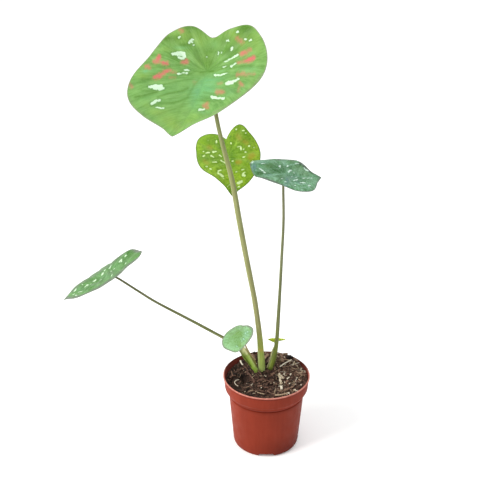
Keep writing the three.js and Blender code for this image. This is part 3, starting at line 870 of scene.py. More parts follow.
# %% The pieces themselves
# Name, line, width, height, tone and roughness; then sides, steps and seed where they differ
LITTER = [
    ("broken_stalk", [(279.4, 374, 2.2), (280.2, 379, 2.6), (281, 384.5, 1.8)], 3, 2.2, 0.86, 0.9,
     12, 24),
    ("stalk_knot", [(280.6, 375.6, 3), (283.2, 378.8, 3)], 3.6, 2.2, 0.84, 0.9, 12, 10, 3),
    ("stalk_end", [(281, 386, 2), (281.8, 389.4, 1.8)], 2.7, 2.2, 1, 0.5, 12, 10, 5),
    ("straw", [(279.6, 366.9, 2.2), (284.6, 363.4, 3.2), (291.8, 359.2, 2.8)], 1.6, 1.3, 1, 0.06),
    ("straw_far", [(281.6, 359.2, 2.2), (286.4, 359.4, 2.6), (289.6, 360.6, 2.6)], 1.4, 1.2, 0.74,
     0.3),
    ("split_stick", [(240.2, 360.2, 2.2), (241.4, 363, 2.4), (243, 365, 1.8)], 1.9, 1.3, 0.99, 0.2),
    ("split_tail", [(243, 365.2, 1.6), (246.2, 368, 1.4), (248.6, 371, 1.2)], 1.8, 1, 0.45, 0.7),
    ("curled_root",
     [(239, 379.8, 1.6), (236.2, 380.2, 2.4), (234.4, 382.2, 2.6), (235.6, 384.6, 2.4),
      (238.2, 386.2, 1.8)], 1.1, 1, 0.92, 0.12, 10, 22),
    ("cream_fleck", [(250.9, 385.2, 1.9), (252.9, 383.9, 2)], 1.7, 1.3, 0.97, 0.4),
    ("red_chip", [(257.4, 386.2, 1.6), (262.2, 385.6, 1.8)], 3, 1.3, 0.55, 0.3),
    ("red_chip_low", [(264.4, 387, 1.6), (268.6, 387.4, 1.8)], 2, 1.3, 0.5, 0.4),
    ("bark_strip",
     [(246.6, 371.4, 1.8), (250.4, 375.4, 2.2), (253.6, 379.4, 2.2), (254.6, 382.8, 1.6)], 2.6, 1.2,
     0.47, 0.6, 12, 22),
    ("root_strip",
     [(256.6, 377.6, 2), (262.4, 378.8, 2.4), (268.6, 380.8, 2.2), (272.4, 383.8, 1.6)], 1.9, 1,
     0.47, 0.7, 12, 22),
    ("root_strip_low", [(255.8, 369.6, 2), (258.6, 373.6, 2.4), (262, 376, 2)], 1.4, 1, 0.52, 0.7),
    ("grey_chip", [(271.4, 374.6, 2), (274.8, 372.6, 2.4)], 3.6, 1.4, 0.57, 0.4),
    ("tan_chip", [(274.6, 395, 1.6), (281, 394.9, 2), (289.6, 392.8, 1.8)], 2.4, 1.5, 0.74, 0.4),
    ("tan_crumbs", [(284, 390.2, 1.6), (289.4, 388.6, 1.8), (293.6, 386.2, 1.4)], 2.6, 1.6, 0.62,
     0.9, 12, 22),
    # The dark lump's near-black tone is painted shadow beside the lump; the next row is its top.
    ("dark_lump", [(286.4, 357.2, 1.2), (290.2, 355.6, 2.2), (294.2, 356.8, 0.8)], 4.4, 2.6, 0.1,
     0.9, 14, 16),
    ("lump_top", [(283.6, 354, 1.6), (287.4, 353.8, 2.2)], 3.4, 2.2, 0.66, 0.6),
    ("rim_lump", [(250.8, 351.4, 1.6), (254.6, 350.6, 1.6)], 3.4, 2.8, 0.3, 0.7),
    ("pale_back", [(276.2, 355.4, 2.2), (278.8, 356.6, 2.2)], 1.9, 1.4, 0.84, 0.4),
    ("chip_back", [(264.4, 356.8, 1.6), (268.4, 353.6, 2.4)], 4, 1.5, 0.68, 0.3),
    ("chip_back_left", [(252, 353, 1.6), (255, 358.2, 1.8)], 2.8, 1.4, 0.62, 0.4),
    ("chip_back_right", [(281.6, 354, 2), (282.6, 360.4, 2.2)], 3.6, 1.4, 0.6, 0.5),
    ("chip_far_right", [(294.2, 357.6, 1.6), (297.6, 361.4, 1.6)], 2.6, 1.4, 0.57, 0.5),
    ("fork_left", [(292.4, 367, 2), (293.4, 363.6, 2.6), (294.2, 360.6, 2.2)], 1, 0.9, 0.84, 0.1),
    ("fork_right", [(294.2, 360.8, 2.2), (295.4, 364, 2.6), (298, 366.8, 2)], 1, 0.9, 0.8, 0.1),
    ("fork_low", [(291.6, 367.6, 2), (295.6, 368.2, 2.2), (299, 366.4, 2)], 1, 0.9, 0.72, 0.1),
    ("fleck_right", [(290.2, 374.8, 2.2), (291, 373.6, 2.4)], 2, 1.4, 0.98, 0.4),
    ("fleck_middle", [(284, 374.6, 2.2), (284.6, 373.6, 2.4)], 1.8, 1.3, 0.96, 0.4),
    ("fleck_chip", [(286.8, 379, 2), (289.6, 377, 2.6)], 2, 1.3, 0.95, 0.4),
    ("rose_chip", [(285.6, 383.4, 2), (287.8, 380, 2.4)], 2.6, 1.3, 0.55, 0.4),
    ("strand_right", [(295.8, 371.4, 2), (299.4, 373.6, 2.6), (302.6, 375.8, 2)], 1.3, 1, 0.66,
     0.3),
    ("strand_right_low", [(298.4, 379, 2), (301.2, 381.2, 2.2)], 1.2, 1, 0.78, 0.3),
    ("strand_mid", [(279, 369, 1.6), (278.9, 371.4, 1.6), (279.4, 373.2, 1.8)], 1.1, 1, 0.64, 0.3),
    ("strand_left", [(231.4, 370.8, 1.8), (231.8, 373.4, 2.4), (232.6, 376.2, 1.8)], 1.3, 1, 0.6,
     0.3),
    ("strand_left_low", [(229.4, 378, 1.8), (232.4, 375.8, 2.2), (236, 375.4, 1.8)], 1.4, 1, 0.52,
     0.4),
    ("strand_left_front", [(243.4, 387.4, 1.6), (246.6, 387.2, 2), (250.4, 386, 1.6)], 1.3, 1, 0.6,
     0.3),
    ("fibre_front", [(255.4, 391.4, 1.8), (259, 392.6, 2.2), (264.6, 394.2, 1.6)], 1.4, 1.1, 0.76,
     0.3),
    ("fibre_front_mid", [(267.2, 390.6, 1.6), (270, 392.8, 2.2), (274.4, 394.4, 1.6)], 1.2, 1, 0.6,
     0.3),
    ("fibre_upright", [(275.6, 389, 2), (274.8, 391.4, 2.6), (274.6, 393.2, 2)], 1.1, 1, 0.74, 0.3)]
litter = joined("litter", [rod(*row) for row in LITTER])
print("litter:", len(litter.data.polygons), "faces")

# %% Finish of the loose pieces
TONES = [
    (0, (0.006, 0.003, 0.002)), (0.22, (0.026, 0.014, 0.008)), (0.42, (0.085, 0.045, 0.03)),
    (0.52, (0.135, 0.063, 0.045)), (0.66, (0.24, 0.15, 0.098)), (0.82, (0.4, 0.31, 0.2)),
    (1, (0.74, 0.68, 0.56))]
litter_finish, tree, into = new_finish("bark and straw", 0.75, 0.3)
here = object_place(tree)
varied = plus(mark_of(tree, "tone"), times(minus(noise_of(here, 650, 4), 0.5), 0.7))
feed(into["Base Color"], colour_ramp(varied, TONES))
bumped(into, noise_of(here, 1500, 4, 0.7), 0.6, 0.0003)
for loose in (bark, peat_crumbs, strands, flecks_laid, litter):
    place_piece(loose, litter_finish, "potting_mix", smooth=35)

# %% [markdown]
# ## The tuber
# The stalks grow from a corm that lies under the mix. The solid's own shape is right, so it
# stays and only takes a finish: dry, brown and scaly.

# %% Tuber finish
tuber_finish, tree, into = new_finish("corm skin", 0.8, 0.2)
here = object_place(tree)
scaly = use_group(tree, mottle, Vector=stretched(here, (1, 1, 3)), Scale=160, Edge=0.2,
                  Dark=(0.1, 0.05, 0.025), Light=(0.3, 0.18, 0.09))["Colour"]
feed(into["Base Color"], scaly)
bumped(into, use_group(tree, grain, Vector=here, Scale=500)["Height"], 0.7, 0.0005)
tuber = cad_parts["tuber"]
tuber.data.materials.clear()
tuber.data.materials.append(tuber_finish)
print("tuber: finish only")

# %% [markdown]
# ## Where each leaf stands
# A leaf is a disc with its joint in the middle: every point has a turn round the joint and
# a share of the way out. The distance from the joint to the edge is given at nine
# stations from the tip round to the notch, and the blade is bent by a few simple folds.
# The same numbers shaped the solid, so that the fine leaf lies exactly on it.

# %% Leaf measures
STATIONS = [0, 12, 32, 60, 95, 112, 130, 155, 180]  # degrees from the tip round to the notch
LEAVES = {
    "top": dict(
        at=(-67.3, 5, 474.6), azimuth=-105.6, elevation=-34, roll=13.4,
        left=[105, 92, 96.5, 96, 76.5, 69.5, 64, 50.5, 41],
        right=[105, 91.5, 87, 85, 66.5, 62, 61.5, 55.5, 41], cup=0.4, side=-0.07, tip=0.25,
        lobe=0.42, skew=0.07, wave=0.5, net=(300, 96), notch=-0.3),
    "back": dict(
        at=(-46, 65, 353.7), azimuth=-82, elevation=-28.5, roll=-0.7,
        left=[49, 43.5, 40, 38, 38, 37, 36, 37, 21],
        right=[49, 40.5, 37, 39.5, 37, 39, 40, 30.5, 21], cup=0.23, side=-0.2, tip=-0.3, lobe=0.42,
        skew=-0.3, wave=0.3, net=(220, 70)),
    "right": dict(
        at=(17.6, -5, 358.4), azimuth=20, elevation=-12, roll=5.3,
        left=[45, 36.5, 36.5, 40.5, 40, 41.8, 43, 39, 36],
        right=[45, 40, 37, 40, 38, 37, 36.5, 38, 36], cup=0.49, side=-0.5, tip=0, lobe=-0.1,
        skew=0.11, wave=0.3, net=(260, 80)),
    "left": dict(
        at=(-183.6, 8, 230.8), azimuth=195, elevation=-29.3, roll=14,
        left=[63.5, 58, 52.5, 41.5, 36.5, 36, 38, 48, 41.8],
        right=[63.5, 58, 54.5, 53, 54, 50.3, 44.5, 39.5, 41.8], cup=0.22, side=-0.35, tip=0.02,
        lobe=0.08, skew=0.04, wave=0.3, net=(260, 80)),
    "small": dict(
        at=(-31.5, -5, 155.9), azimuth=-136, elevation=-30, roll=10.6,
        left=[27, 27, 28, 22.5, 20, 18.7, 17, 13.5, 12], right=[27, 27, 25, 22, 18, 16, 14, 11, 12],
        cup=0, side=-0.05, tip=0, lobe=-0.04, skew=-0.16, wave=0.15, net=(120, 36)),
    "bud": dict(
        at=(10, 24, 127), azimuth=-20, elevation=19, roll=-26,
        left=[14.8, 11.5, 7.6, 6.6, 6.2, 6.2, 7, 8, 6.5],
        right=[14.8, 11.5, 7.6, 6.6, 6.2, 6.2, 7, 8, 6.5], cup=0.6, side=0, tip=0, lobe=0.5, skew=0,
        wave=0, net=(64, 20)),
}
print("leaves:", ", ".join(LEAVES))

# %% From a turn and a share to a place on the leaf
BOW = 0.22  # how far a half bulges towards the tip between joint and edge
KEEL = 0.1  # rounds the fold along the midrib


def leaf_axes(leaf):
    """Towards the tip, to the left, and out of the upper face."""
    a, e, r = (math.radians(leaf[k]) for k in ("azimuth", "elevation", "roll"))
    tipward = np.array([math.cos(e) * math.cos(a), math.cos(e) * math.sin(a), math.sin(e)])
    level = np.array([-math.sin(a), math.cos(a), 0])
    leftward = level * math.cos(r) + np.cross(tipward, level) * math.sin(r)
    return tipward, leftward, np.cross(tipward, leftward)


def edge_distance(leaf, turn_deg):
    """From the joint to the edge, by a smooth curve through the stations of each half."""
    deg = np.abs(turn_deg)
    made = np.zeros_like(deg)
    i = np.clip(np.searchsorted(STATIONS, deg, side="left") - 1, 0, len(STATIONS) - 2)
    s = np.array(STATIONS, float)
    before = np.maximum(np.arange(len(s)) - 1, 0)
    after = np.minimum(np.arange(len(s)) + 1, len(s) - 1)
    for half, chosen in (("left", turn_deg >= 0), ("right", turn_deg < 0)):
        v = np.array(leaf[half], float)
        slope = (v[after] - v[before]) / (s[after] - s[before])
        slope[-1] *= leaf.get("notch", 1)  # 0 or less rounds the bottom of the notch
        h = s[i + 1] - s[i]
        f = (deg - s[i]) / h
        value = ((2 * f ** 3 - 3 * f ** 2 + 1) * v[i] + (f ** 3 - 2 * f ** 2 + f) * slope[i] * h
                 + (-2 * f ** 3 + 3 * f ** 2) * v[i + 1] + (f ** 3 - f ** 2) * slope[i + 1] * h)
        made = np.where(chosen, value, made)
    return made


def flat_place(leaf, theta, rho):
    """Flat leaf coordinates in mm: u towards the tip, v to the left."""
    reach = edge_distance(leaf, np.degrees(theta))
    bow = BOW * reach * rho * (1 - rho) * np.sin(2 * np.abs(theta))
    return rho * reach * np.cos(theta) + bow, rho * reach * np.sin(theta), reach


def fold_height(leaf, u, v, theta, rho):
    size = leaf["left"][0]
    x, y = u / size, v / size
    w = leaf["cup"] * (np.sqrt(y * y + KEEL ** 2) - KEEL) + leaf["side"] * y * y
    w = w + np.where(x > 0, leaf["tip"], leaf["lobe"]) * x * x + leaf["skew"] * x * y
    return w * size + leaf["wave"] * np.sin(9 * theta + 0.6) * rho ** 3


tip_mm, notch_mm = edge_distance(LEAVES["top"], np.array([0.0, 180.0]))
print(f"top leaf: {tip_mm:.0f} mm from the joint to the tip, {notch_mm:.0f} mm to the notch")

# %% [markdown]
# ## Veins
# A caladium leaf has a strong midrib, two ribs that run back into the lobes, and side veins
# that leave them and turn forwards before the edge. They are curves in the flat leaf; the
# distance from every point to the nearest one shapes the relief (grooves above, ribs
# below, the blade swelling between) and colours the veins.

# %% Vein curves
# Where each leaves the midrib, as a share of its length, and the turn at which it ends
SIDE_VEINS = [(0, 150), (0, 122), (0, 93), (0.08, 68), (0.2, 50), (0.34, 36), (0.5, 24), (0.67, 13)]
STRONG_VEINS = (150, 93)
FULL_LEAF = 105  # mm from the joint to the tip of the top leaf; smaller leaves have finer veins


def vein_lines(leaf):
    """Lists of (strength, points) in flat leaf coordinates."""
    size = leaf["left"][0]
    lines = [(1.0, np.array([[t * size * 0.985, 0.0] for t in np.linspace(0, 1, 24)]))]
    for sign in (1, -1):
        for start, end_deg in SIDE_VEINS:
            theta = np.array([sign * math.radians(end_deg)])
            u, v, _ = flat_place(leaf, theta, np.array([0.97]))
            first = np.array([start * size, 0.0])
            last = np.array([u[0], v[0]])
            forward = 0.22 if end_deg < 100 else 0.5
            middle = np.array([first[0] + forward * (last[0] - first[0]), 0.6 * last[1]])
            t = np.linspace(0, 1, 18)[:, None]
            points = first * (1 - t) ** 2 + 2 * middle * t * (1 - t) + last * t ** 2
            lines.append((0.85 if end_deg in STRONG_VEINS else 0.65, points))
    return lines


print("veins on a leaf:", len(vein_lines(LEAVES["top"])))


# %% How near a point is to the veins
def distance_to_line(u, v, points):
    """How far points are from a curve, how far along it, and on which side (by the sign)."""
    best = np.full(len(u), 1e9)
    share, side = np.zeros(len(u)), np.zeros(len(u))
    for k in range(len(points) - 1):
        a, b = points[k], points[k + 1]
        d = b - a
        t = np.clip(((u - a[0]) * d[0] + (v - a[1]) * d[1]) / max(d @ d, 1e-9), 0, 1)
        dist = np.hypot(u - a[0] - t * d[0], v - a[1] - t * d[1])
        nearer = dist < best
        share = np.where(nearer, (k + t) / (len(points) - 1), share)
        side = np.where(nearer, d[0] * (v - a[1]) - d[1] * (u - a[0]), side)
        best = np.minimum(best, dist)
    return best, share, side


def vein_marks(leaf, u, v):
    """How much each point is on a vein (0..1), and how far it is from the nearest, in mm."""
    on_vein = np.zeros(len(u))
    nearest = np.full(len(u), 1e9)
    scale = leaf["left"][0] / FULL_LEAF
    for strength, points in vein_lines(leaf):
        dist, share, _ = distance_to_line(u, v, points)
        width = (1.5 * strength * (1 - 0.65 * share) + 0.25) * (0.4 + 0.6 * scale)
        on_vein = np.maximum(on_vein, strength * (1 - 0.5 * share) * np.exp(-(dist / width) ** 2))
        nearest = np.minimum(nearest, dist)
    return on_vein, nearest


def vein_fan(leaf, u, v):
    """Which gap between side veins a point lies in, counted from the notch to the midrib."""
    fan = np.zeros(len(u))
    lines = [points for _, points in vein_lines(leaf)[1:]]
    count = len(SIDE_VEINS)
    for sign, own in ((1, lines[:count]), (-1, lines[count:])):
        found = [distance_to_line(u, v, points) for points in own]
        away = [dist for dist, _, _ in found] + [np.abs(v)]
        half = -away[0] / (0.2 * leaf["left"][0])
        for k, (dist, _, side) in enumerate(found):
            half = np.where(side * sign < 0, k + dist / (dist + away[k + 1] + 1e-6), half)
        fan = np.where(v * sign >= 0, half, fan)
    return fan


on_midrib, _ = vein_marks(LEAVES["top"], np.array([50.0]), np.array([0.0]))
print("vein mark 50 mm along the midrib:", on_midrib.round(2))

# %% [markdown]
# ## Spots
# The white and pink spots are given where they are seen in the picture: a stroke from one
# pixel to another with a half width. The camera's ray through each pixel finds its place on
# the leaf. On a leaf that faces the camera a stroke is measured in the picture's plane, and
# on a leaf that is seen edge-on it is measured on the leaf itself, so that it stays a spot
# from every side.

# %% Strokes and distances
PX_MM = 1.23  # a pixel of the picture at the plant's distance
FAR_OFF = 40.0  # a distance at which no spot shows


def stroke_distance(plane, strokes):
    """Signed distance in the plane's own unit to the nearest stroke (negative inside)."""
    best = np.full(len(plane), FAR_OFF)
    for x0, y0, x1, y1, r in strokes:
        a, d = np.array([x0, y0]), np.array([x1 - x0, y1 - y0])
        t = np.clip(((plane - a) @ d) / max(d @ d, 1e-9), 0, 1)
        best = np.minimum(best, np.linalg.norm(plane - a - t[:, None] * d, axis=1) - r)
    return best


def on_leaf(piece, px, py, flat):
    """Flat leaf coordinates of the place seen at a pixel."""
    hit, where, _, face = piece.ray_cast(CAMERA_AT, ray_through(px, py))
    if hit:
        corners = list(piece.data.polygons[face].vertices)
        near = min(corners, key=lambda i: (piece.data.vertices[i].co - where).length)
    else:
        seen = pixels_of(points_of(piece))
        near = int(np.argmin(np.hypot(seen[:, 0] - px, seen[:, 1] - py)))
    return flat[near]


def soft_lines(pixels, lines):
    """The strongest of soft lines (strength, half width, point, point, ...) in the picture."""
    made = np.zeros(len(pixels))
    for strength, half, *points in lines:
        for a, b in zip(points, points[1:]):
            a, d = np.array(a, float), np.array(b, float) - np.array(a, float)
            t = np.clip(((pixels - a) @ d) / max(d @ d, 1e-9), 0, 1)
            away = np.linalg.norm(pixels - a - t[:, None] * d, axis=1)
            made = np.maximum(made, strength * np.exp(-(away / half) ** 2))
    return made


def painted(piece, kinds, force=1):
    """Marks how strongly each kind of soft paint lies on a piece, by PATCHES and LINES."""
    seen = pixels_of(points_of(piece))
    for kind in kinds:
        key = f"{piece.name} {kind}"
        patches, lines = PATCHES.get(key, []), LINES.get(key, [])
        mark(piece, kind, np.maximum(soft_patch(seen, patches), soft_lines(seen, lines)) * force)


print("helpers: stroke_distance, on_leaf, soft_lines, painted")

# %% Spots of the top leaf, in pixels of the picture
# A white stroke is (x, y, x, y, half width); a pink one adds how strong the pink is.
TOP_WHITE = [
    (179.1, 37.6, 179.5, 37.5, 1.2), (189.6, 42.4, 190.4, 40.8, 1.3), (191.6, 40, 193, 39.8, 0.95),
    (191.2, 41.6, 192.5, 42.1, 0.8), (193.5, 45, 193.8, 45.1, 0.65), (172.8, 54, 176.8, 53.4, 1.6),
    (177.5, 53.6, 183.2, 53.4, 2.1), (183, 54.2, 184.4, 56.6, 1.9), (179, 57.6, 183.4, 58.4, 1.2),
    (185.2, 69.7, 188.8, 70.5, 0.9), (178.2, 73.8, 181.4, 73.6, 0.95),
    (181.4, 73.2, 187.2, 72.8, 0.6), (149.8, 86.6, 156.5, 86.2, 1.4), (155, 86.8, 160.6, 87.4, 2.6),
    (160, 87.8, 163.6, 88, 1.2), (151.8, 103.6, 155.4, 101.8, 1.4),
    (154.8, 101.4, 159.6, 100.2, 1.1), (156, 107, 159, 107.6, 0.5), (159.2, 108, 163.6, 108.2, 0.7),
    (236.9, 32, 238.2, 31.6, 1), (227.2, 40.8, 228.2, 40.5, 1), (245.3, 39.5, 246.1, 39.2, 0.85),
    (249.4, 40.8, 251.2, 40, 0.7), (231.2, 50, 232.2, 47, 0.9), (218.2, 54.4, 218.6, 52.4, 0.7),
    (221.4, 53.4, 221.6, 52.2, 0.35), (225.4, 61.8, 231.5, 58.6, 0.85),
    (231.5, 58.6, 237.8, 54.9, 0.85), (223.3, 67.2, 226.8, 66, 0.65), (231, 66.4, 232.6, 65.2, 0.9),
    (232.6, 65.2, 235.8, 63.4, 0.65), (214.2, 75.2, 221.6, 75.4, 0.7),
    (221.6, 74.8, 228.4, 72.8, 0.55), (226.8, 83.4, 231.8, 82.8, 1.75),
    (228.2, 81.8, 231, 81.4, 0.8), (232.4, 82, 238.8, 79, 1), (212, 97, 215.8, 98, 1.35),
    (215.8, 98.4, 223.4, 98.2, 0.95), (199.4, 109.8, 203.8, 109.2, 0.9),
    (206.6, 56.8, 206.9, 56.8, 0.4), (143.5, 113.9, 143.6, 113.9, 0.3)]
TOP_PINK = [
    (180.8, 30, 182.4, 31.2, 1.8, 0.45), (159.2, 56.4, 157.6, 60.4, 1.6, 0.9),
    (154.4, 61.6, 158, 61.6, 1.2, 0.8), (158.5, 61.4, 162, 62.4, 0.8, 0.6),
    (163.4, 62.8, 166.6, 63.8, 1.7, 0.9), (147.2, 66.6, 148.8, 67, 1.8, 0.7),
    (182.6, 62.2, 186.8, 61.8, 1.7, 0.75), (186, 59.5, 187.2, 61.5, 0.8, 0.8),
    (164.6, 71.2, 169, 70.6, 1.6, 0.85), (155, 77.2, 159, 75.8, 1.7, 0.9),
    (158.6, 75.4, 164, 73, 1.2, 0.8), (170.5, 72, 175.5, 72.6, 0.7, 0.4),
    (170.5, 77.2, 175, 77.4, 0.6, 0.3), (129.8, 84.6, 132, 87.2, 1, 0.4),
    (237.4, 38, 242, 42.6, 1.6, 0.5), (241.6, 53.8, 245.6, 52.2, 1.7, 0.8),
    (245.4, 52, 250.4, 49, 1, 0.55), (238.6, 62.6, 243.2, 61.2, 1, 0.6),
    (244, 61, 248.6, 60.2, 1.5, 0.85), (248.4, 60.2, 253.4, 57.8, 1.8, 1),
    (237.4, 74.2, 244.2, 73.2, 1.3, 0.55), (243.8, 74.2, 247, 75, 1.1, 0.5),
    (247, 73.8, 254, 74, 0.7, 0.4), (240.4, 83.2, 242.4, 85.4, 1.2, 0.65),
    (238.8, 88.4, 238.6, 91, 0.8, 0.4), (216.8, 92, 222.6, 92, 1.6, 0.55),
    (204.6, 106.4, 206.8, 104.2, 1.5, 0.55), (207, 107.2, 207.2, 108.2, 0.8, 0.65),
    (218, 83.4, 222, 83.2, 0.7, 0.3), (193.4, 81.4, 194.4, 82.2, 1.1, 0.15)]
print("top leaf:", len(TOP_WHITE), "white strokes,", len(TOP_PINK), "pink ones")

# %% Spots of the other leaves
BACK_WHITE = [
    (216.7, 140.8, 216.7, 142.6, 0.8), (206.2, 153, 209, 152.4, 0.95),
    (203.2, 151.6, 203.8, 151.4, 0.6), (213, 152, 216.2, 151.4, 0.7),
    (203.4, 156.2, 204.6, 155.8, 0.95), (211, 155.6, 213.8, 157.2, 0.65),
    (219.4, 155.2, 221.2, 156.6, 0.8), (212.8, 162.2, 216.4, 162, 0.9),
    (221, 160.6, 224.8, 162.6, 0.85), (218, 171, 220.8, 170.2, 1.1), (218, 173, 222.6, 176, 1.3),
    (223, 178.6, 223.6, 178.6, 0.6), (206, 166.4, 207, 166.6, 0.55),
    (210, 168.8, 211.4, 169.2, 0.55), (231, 143.6, 231, 143.2, 0.85),
    (237.2, 147, 240.2, 146.4, 0.8), (240.6, 147, 241, 149.8, 0.85),
    (243.4, 149.4, 243.8, 149.2, 0.75), (249, 146.2, 249.4, 145.8, 0.95),
    (254.2, 147.6, 254.6, 147.4, 0.75), (251.2, 163.2, 252.6, 161.4, 1.1),
    (243, 157.2, 245.8, 156, 0.85), (245, 152.2, 246, 151.8, 0.45), (242, 170, 244.4, 169.4, 0.75),
    (243, 173.6, 245, 172.2, 1), (243.2, 175.4, 244.8, 175.6, 1.3), (238.2, 183.2, 239.6, 183, 1.7),
    (240, 182, 241.6, 181.4, 1.8), (238.2, 187, 239.2, 186.8, 1.1),
    (236.2, 129.4, 236.8, 129.2, 0.9), (242.4, 130.6, 244, 130.4, 0.85),
    (232, 161.2, 233.4, 161, 0.6), (208, 140.6, 208.4, 140.4, 0.6), (236, 171.8, 237, 171.8, 0.5),
    (227.6, 186.6, 229.4, 185, 0.55), (245.2, 133.2, 245.8, 133, 0.5),
    (229, 136.4, 229.4, 136.2, 0.45)]
BACK_PINK = [
    (208.4, 147.4, 210.6, 148, 1.6, 0.4), (238.2, 136.2, 240, 138.2, 2, 0.35),
    (244.6, 141.6, 246.6, 143, 1.7, 0.4), (250.2, 157.2, 252.4, 155.2, 2.4, 0.6),
    (237.4, 162.2, 239.6, 162.2, 1.3, 0.85), (204.4, 161.2, 207.2, 162.6, 1.3, 0.35)]
RIGHT_WHITE = [
    (251.6, 163.2, 252.8, 161.6, 0.9), (262, 163.4, 264.4, 163.6, 0.7),
    (259.8, 168.6, 262.6, 170.4, 0.75), (262.8, 170.6, 264.8, 172.6, 0.45),
    (279.4, 166.8, 279.8, 165.6, 0.7), (287.4, 166.6, 287.8, 165, 0.6),
    (295.6, 163.8, 298.6, 163.6, 0.55), (304.2, 168.2, 307.6, 170.6, 0.65),
    (288.6, 172, 291.2, 170, 0.6), (294, 172.2, 294.2, 173.2, 0.4),
    (292, 176.8, 296.4, 177.2, 0.65), (294, 180.8, 297.6, 179.2, 0.7),
    (300.4, 182.8, 304.8, 182.8, 0.7), (303.2, 178.2, 305, 178, 0.7),
    (307.6, 178.2, 311.6, 177.8, 0.55), (284.6, 181.8, 286.2, 182, 0.6),
    (308.4, 185.8, 310.2, 185.4, 0.75), (281.4, 178.6, 282.4, 178.4, 0.4),
    (294.8, 185.2, 295.4, 185.4, 0.45)]
LEFT_WHITE = [
    (74.8, 290.8, 76.2, 289.2, 0.75), (78.2, 292.2, 82, 291.2, 0.5), (72.6, 294.8, 74.2, 294, 0.6),
    (75.6, 295.4, 77, 295.2, 0.4), (85, 286.8, 86.4, 285.6, 0.65), (86.4, 285.4, 90.4, 284.2, 0.55),
    (93.6, 281.4, 95.6, 280, 0.75), (100, 280.2, 101, 279.8, 0.5), (102.2, 274.6, 102.8, 273, 0.8),
    (104.4, 270.6, 105.2, 270, 0.6), (109.6, 268, 110.6, 266.2, 0.75),
    (111, 271.4, 111.6, 271, 0.45), (113.8, 269, 114.4, 268.6, 0.5),
    (111.2, 276.2, 112, 274.8, 0.6), (119.4, 261.6, 121.6, 259.2, 0.6),
    (121.4, 259.4, 121.6, 261.8, 0.55), (125.4, 256.4, 125.8, 255.4, 0.75),
    (125.4, 263.6, 125.8, 263, 0.6), (82, 284.6, 82.6, 284.4, 0.4)]
SMALL_WHITE = [
    (245.2, 333, 245.8, 334.4, 0.55), (247.2, 331.6, 247.6, 332, 0.4),
    (243.2, 338.6, 244.2, 339.4, 0.6), (241.8, 341, 242.2, 341.2, 0.35),
    (250.4, 331, 250.8, 331.6, 0.35), (236.4, 346.2, 237.2, 346.4, 0.4),
    (247.6, 335.2, 247.9, 335.6, 0.35)]
SPOTS = {
    "top": (TOP_WHITE, TOP_PINK, "picture"),
    "back": (BACK_WHITE, BACK_PINK, "picture"),
    "right": (RIGHT_WHITE, [], "leaf"),
    "left": (LEFT_WHITE, [], "leaf"),
    "small": (SMALL_WHITE, [], "leaf"),
    "bud": ([], [], "leaf"),
}
print("spots:", {name: len(white + pink) for name, (white, pink, _) in SPOTS.items()})
